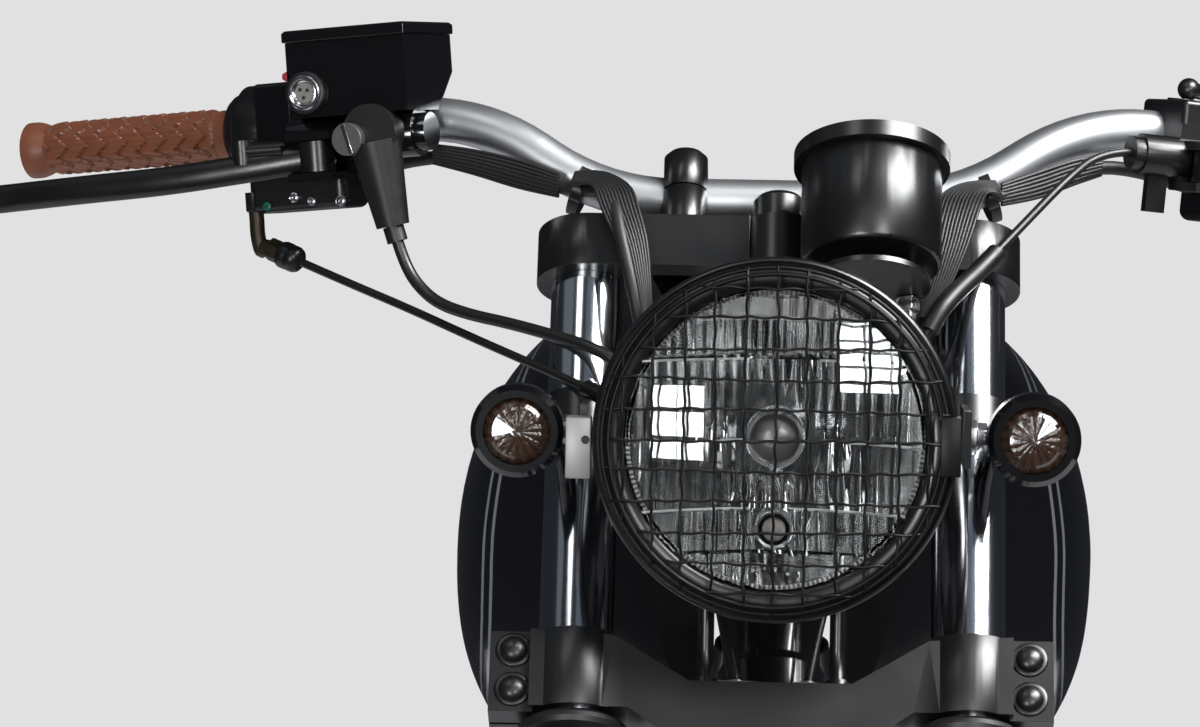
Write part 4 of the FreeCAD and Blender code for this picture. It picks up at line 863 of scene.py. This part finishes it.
def reservoir_details():
    """The slotted plug, the sight glass's window, the cap's screws and the small screws of the right controls."""
    plug_at = aim(hand(-112.5, 68, -10), FORWARD)
    plug = [(9.3, -7), (9.4, 0.9), (8.8, 1.4), (0.1, 1.4)]
    turned("boot_plug", plug, 48, slotted_metal, plug_at, 30)
    slot_at = plug_at @ Matrix.Rotation(math.radians(20), 4, "Z")
    # Near-black strip of painted shade for the plug's slot, and beside it a thin alloy strip as a painted highlight
    # on the slot's edge.
    block("plug_slot", (-0.85, -8.6, 1.3), (0.85, 8.6, 1.6), slot_at, gap_shade_and_marks, 0.1)
    block("plug_slot_highlight", (0.95, -8.6, 1.35), (1.45, 8.6, 1.65), slot_at, alloy, 0.1)
    sight_out, sight_up = -82, 18.75
    sight_at = aim(hand(sight_out, 57.0, sight_up), FORWARD)
    seal = [(12.2, -2.5), (12.2, 0.4), (11.4, 1.0), (10.2, 1.0), (10.0, 0.2)]
    ring = [(10.1, 0), (10.1, 1.4), (9.4, 2.0), (8.4, 2.0), (7.8, 1.2), (7.0, 1.4), (6.4, 1.0), (5.6, 0.2)]
    turned("sight_seal", seal, 48, rubber, sight_at)
    turned("sight_ring", ring, 48, alloy, sight_at)
    turned("sight_window", [(5.8, 0.1), (5.4, 0.6), (0.1, 0.9)], 48, reticle, sight_at)
    marks = [hex_nut(hand(sight_out + a, 58.0, sight_up + b), FORWARD, 1.8, 0.6)
             for a, b in ((-2.4, 1.4), (2.2, 2.0), (0.2, -2.8))]
    settle(joined(marks), "sight_marks", gap_shade_and_marks, "steering")
    for i, out in enumerate((-136, -79)):
        dome_bolt("cap_screw_%d" % (i + 1), hand(out, 22, 53.6), UP, 3.4, bare_steel)
    small = (("lock_screw", (-34, 18.5, -44), 2.6, green_mark), ("housing_screw", (-52, 18.5, -40), 3.0, alloy),
             ("housing_stud", (-63, 18.5, -43), 2.6, bare_steel), ("housing_bolt", (-82, 18.5, -44), 3.2, bare_steel))
    for name, place, radius, finish in small:
        dome_bolt(name, hand(*place), FORWARD, radius, finish)
    flag = hex_nut(hand(-69.3, 49, 29), FORWARD, 5, 5)
    settle(flag, "cap_seal_tab", red_mark, "steering")


def throttle_pipe():
    """The bent olive pipe under the throttle housing, its nut and the cable's black sleeve."""
    ahead = (THROTTLE[1] - THROTTLE[0]).normalized()
    start = THROTTLE[0] - ahead * 0.021
    bend = smooth_run([hand(-22, 11, -38), hand(-23, 12, -50), hand(-23.5, 13, -60), hand(-25.5, 13.5, -69),
                       start - ahead * 0.004, start + ahead * 0.002])
    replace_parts(wire("throttle_pipe", [bend], 4.5, bronze, "steering", steps=5), "throttle_elbow")
    boss = [(5.8, -12), (5.8, -1.4), (5.2, -0.6), (4.2, -0.6)]
    turned("pipe_boss", boss, 32, plastic, aim(hand(-22.8, 11.8, -47), -UP))
    nut = [(4.6, -2), (6.6, -1.2), (6.9, 0), (6.9, 6.2), (6.4, 7.4), (6.4, 9)]
    turned("cable_nut", nut, 6, bronze, aim(start, ahead), 20)
    sleeve = [(6.2, 7.5), (7.6, 8.4), (8.0, 9.6), (8.0, 13.4), (7.5, 14.2), (7.5, 15.0), (7.9, 15.8), (7.8, 18.4),
              (7.0, 20.4), (5.6, 21.6), (3.4, 22.4), (2.6, 22.6)]
    turned("cable_connector", sleeve, 40, plastic, aim(start, ahead))


def smooth_run(points, steps=6):
    """A rounded line through its points."""
    line = []
    for a, b, c, d in zip([points[0]] + points, points, points[1:], points[2:] + [points[-1]]):
        for i in range(steps):
            t = i / steps
            line.append(0.5 * ((2 * b) + (c - a) * t + (2 * a - 5 * b + 4 * c - d) * t ** 2
                               + (3 * b - a - 3 * c + d) * t ** 3))
    return line + [points[-1]]


def ribbed_fan(name, line, spread, strands, radius):
    """A flat bundle of fine wires side by side, spread across and up in millimetres at each point."""
    runs = []
    for k in range(strands):
        share = k / (strands - 1) - 0.5
        run = [head(x + share * wide, y - 2.5 * math.cos(share * math.pi), z + share * tall)
               for (x, y, z), (wide, tall) in zip(line, spread)]
        runs.append(smooth_run(run))
    wire(name, runs, radius, loom_sleeve, "steering")


def loom_details():
    """The ribbed looms along the bar and by the risers, and the clutch cable's sleeve."""
    ribbed_fan("loom_fan_right",
               [(-118, 36, 177), (-106, 22, 179), (-95, 4, 175), (-89, -10, 162), (-82, -22, 144),
                (-77, -30, 122), (-74, -32, 104)],
               ((3, 9), (13, 6), (20, 0), (20, 0), (16, 0), (11, 0), (7, 0)), 11, 1.05)
    ribbed_fan("loom_fan_left",
               [(124, 38, 176), (113, 24, 177), (104, 6, 174), (99, -11, 163), (94, -24, 144),
                (88, -31, 124), (81, -33, 106)],
               ((4, -9), (15, -5), (23, 0), (23, 0), (20, 0), (15, 0), (9, 0)), 12, 1.05)
    ribbed_fan("loom_band_right", [(-200, 80, 190), (-176, 68, 186), (-150, 55, 180), (-126, 41, 174)],
               ((0, 10), (0, 13), (0, 15), (0, 12)), 8, 1.1)
    ribbed_fan("loom_band_left", [(184, 72, 190), (168, 64, 186), (148, 54, 179), (126, 42, 173)],
               ((0, 10), (0, 13), (0, 14), (0, 11)), 7, 1.2)
    sleeve = smooth_run(route((122, -10, 142), (112, -21, 132), (100, -33, 121), (91, -42, 111), (84, -47, 99)))
    wire("clutch_sleeve", [sleeve], 5.4, rubber, "steering", steps=4)


lamp_clips()
yoke_bolts()
pod_nuts()
reservoir_details()
throttle_pipe()
loom_details()


# ---- Dial

def dial_marks():
    """Plain ticks, figures and a needle on the dial."""
    dial_at = ON_STEERING @ Matrix.Translation((51, -116, 145))
    first, sweep, ticks, figures = 225, 270, 40, 8
    marks = []
    for i in range(ticks + 1):
        angle = math.radians(first - i * sweep / ticks)
        long_mark = i % 5 == 0
        inner, outer = (26 if long_mark else 29), 33
        alone()
        bpy.ops.mesh.primitive_cube_add(size=1, location=(0, 0, 0))
        tick = bpy.context.object
        tick.scale = (outer - inner, 1.1 if long_mark else 0.6, 0.3)
        middle = (inner + outer) / 2
        tick.rotation_euler = (0, 0, angle)
        tick.location = (middle * math.cos(angle), middle * math.sin(angle), 0.2)
        marks.append(tick)
    for i in range(figures + 1):
        angle = math.radians(first - i * sweep / figures)
        alone()
        bpy.ops.object.text_add(location=(21 * math.cos(angle), 21 * math.sin(angle), 0.1))
        figure = bpy.context.object
        figure.data.body = str(i * 20)
        figure.data.align_x, figure.data.align_y = "CENTER", "CENTER"
        figure.data.size, figure.data.extrude = 5.6, 0.1
        alone()
        figure.select_set(True)
        bpy.context.view_layer.objects.active = figure
        bpy.ops.object.convert(target="MESH")
        marks.append(bpy.context.object)
    for mark in marks:
        mark.matrix_world = dial_at @ mark.matrix_world
    settle(joined(marks), "dial_marks", white_mark, "steering", smooth=0)
    turn = Matrix.Rotation(math.radians(-first), 4, "Z") @ Matrix.Rotation(math.radians(90), 4, "Y")
    needle_at = dial_at @ Matrix.Translation((0, 0, 3)) @ turn
    turned("dial_needle", [(0.9, 0), (0.9, 27), (0.2, 31)], 8, red_mark, needle_at)


dial_marks()


# ---- Room, lights and camera

DAYLIGHT = (0.96, 0.98, 1.0)


def card(name, centre, facing, width, height, tone, strength=1.0):
    """A plain panel that only shows in reflections. It faces along a direction, and its width lies level."""
    alone()
    bpy.ops.mesh.primitive_plane_add(size=1)
    panel = bpy.context.object
    panel.name = name
    turn = Vector(facing).normalized().to_track_quat("Z", "Y").to_matrix().to_4x4()
    panel.matrix_world = Matrix.Translation(centre) @ turn @ Matrix.Diagonal((width, height, 1, 1))
    bpy.ops.object.transform_apply(location=True, rotation=True, scale=True)
    material = bpy.data.materials.new(name)
    material.use_nodes = True
    tree = material.node_tree
    tree.nodes.clear()
    glow = tree.nodes.new("ShaderNodeEmission")
    out = tree.nodes.new("ShaderNodeOutputMaterial")
    glow.inputs["Color"].default_value = (*tone, 1)
    glow.inputs["Strength"].default_value = strength
    tree.links.new(glow.outputs[0], out.inputs["Surface"])
    panel.data.materials.append(material)
    panel.visible_camera = False
    panel.visible_shadow = False
    panel.visible_diffuse = False


def window(name, centre, wide, tall, rows, strength):
    """A window of two columns of panes, seen in the lens."""
    for i in range(2):
        for j in range(rows):
            at = (centre[0] + (i - 0.5) * wide / 2, centre[1], centre[2] + (j - (rows - 1) / 2) * tall / rows)
            card("%s_%d_%d" % (name, i, j), at, (0, 1, 0), wide / 2 * 0.94, tall / rows * 0.9, DAYLIGHT, strength)


def studio():
    """The floor, the pale room, three soft lights and the cards that the black parts mirror."""
    low = cad_box[0][2]
    alone()
    bpy.ops.mesh.primitive_plane_add(size=2.6, location=(0, 0, low - 0.004))
    floor = bpy.context.object
    floor.name = "floor"
    paint = Finish("floor_paint", (0.80, 0.80, 0.81), 0.9)
    paint.coarse(0.9, 0.05, 300)
    floor.data.materials.append(paint.material)

    world = bpy.data.worlds.new("room")
    bpy.context.scene.world = world
    world.use_nodes = True
    tree = world.node_tree
    tree.nodes.clear()
    rays = tree.nodes.new("ShaderNodeLightPath")
    mirrored, passed = (tree.nodes.new("ShaderNodeMath") for _ in range(2))
    mirrored.operation = passed.operation = "MAXIMUM"
    pale = tree.nodes.new("ShaderNodeBackground")
    pale.inputs["Color"].default_value = (0.755, 0.752, 0.760, 1)
    soft = tree.nodes.new("ShaderNodeBackground")
    soft.inputs["Color"].default_value = (0.80, 0.82, 0.86, 1)
    soft.inputs["Strength"].default_value = 0.6
    mix = tree.nodes.new("ShaderNodeMixShader")
    out = tree.nodes.new("ShaderNodeOutputWorld")
    tree.links.new(rays.outputs["Is Camera Ray"], mirrored.inputs[0])
    tree.links.new(rays.outputs["Is Glossy Ray"], mirrored.inputs[1])
    tree.links.new(mirrored.outputs[0], passed.inputs[0])
    tree.links.new(rays.outputs["Is Transmission Ray"], passed.inputs[1])
    tree.links.new(passed.outputs[0], mix.inputs["Fac"])
    tree.links.new(soft.outputs[0], mix.inputs[1])
    tree.links.new(pale.outputs[0], mix.inputs[2])
    tree.links.new(mix.outputs[0], out.inputs["Surface"])

    def lamp(name, at, size, power, tint=(1, 1, 1)):
        """An area light that falls on the pieces and isn't mirrored in them."""
        light = bpy.data.lights.new(name, "AREA")
        light.shape = "RECTANGLE"
        light.size, light.size_y = size
        light.energy = power
        light.color = tint
        body = bpy.data.objects.new(name, light)
        body.location = at
        body.rotation_euler = (Vector((0, 0, 0.45)) - Vector(at)).to_track_quat("-Z", "Y").to_euler()
        body.visible_glossy = False
        bpy.context.scene.collection.objects.link(body)

    lamp("key", (1.3, -1.3, 2.3), (0.8, 0.8), 26)
    lamp("side", (-2.2, -1.0, 1.4), (0.4, 1.6), 8)
    lamp("back", (0.4, 2.4, 2.2), (2.0, 1.0), 24)

    dark, blue = (0.020, 0.022, 0.027), (0.10, 0.125, 0.15)
    card("front_dark", (0, -5.6, 1.0), (0, 1, 0), 12, 8, dark)
    card("left_dark", (-3.0, -1.2, 1.0), (1, 0, 0), 9.2, 6.6, dark)
    card("right_dark", (3.0, -1.2, 1.0), (-1, 0, 0), 9.2, 6.6, dark)
    card("back_dark", (0, 3.2, 1.0), (0, -1, 0), 6.2, 6.4, dark)
    card("high_dark", (0, -1.2, 3.6), (0, 0, -1), 6.4, 9, dark)
    card("low_dark", (0, -2.9, low + 0.02), (0, 0, 1), 6.4, 5.0, dark)
    card("front_blue", (0.30, -1.55, 2.75), (0, 0.55, -0.8), 0.9, 1.6, blue)
    card("soft_left", (-0.80, -1.12, 2.32), (0.3, 0.5, -0.8), 0.50, 0.9, DAYLIGHT, 3.2)
    card("blue_left", (-1.9, -0.2, 2.3), (0.8, 0.1, -0.5), 1.9, 1.4, (0.13, 0.15, 0.165))
    card("soft_right", (1.25, -0.76, 1.98), (-1.15, 0.80, -1.35), 1.25, 1.0, (0.98, 0.99, 1.0), 34)
    card("soft_front", (0.1, -3.4, 1.95), (0, 2.7, -1.3), 2.6, 0.9, (1, 1, 1), 0.85)
    card("low_right", (1.55, -2.5, 1.75), (-1.5, 2.4, -1.2), 0.9, 0.6, (1, 1, 1), 3.0)
    window("window_left", (-1.36, -4.5, 0.37), 0.80, 1.10, 3, 34)
    window("window_right", (1.33, -4.5, 1.38), 0.90, 1.10, 3, 24)


def camera():
    """The photograph's long lens, a little above the lamp and panned to the rider's right."""
    picture_wide, focal_pixels, pan_pixels, fall, roll = 1200, 5760, 177, 0.0528, 0.0165
    data = bpy.data.cameras.new("camera")
    data.sensor_width = 36
    data.lens = data.sensor_width * focal_pixels / picture_wide
    data.clip_end = 60
    view = bpy.data.objects.new("camera", data)
    bpy.context.scene.collection.objects.link(view)
    ahead = Vector((-pan_pixels / focal_pixels, 1, -fall))
    turn = ahead.to_track_quat("-Z", "Y").to_matrix().to_4x4()
    view.matrix_world = Matrix.Translation(head(0, -3239.5, 246.1)) @ turn @ Matrix.Rotation(roll, 4, "Z")
    bpy.context.scene.camera = view


studio()
camera()
bpy.context.scene.view_settings.view_transform = "Standard"
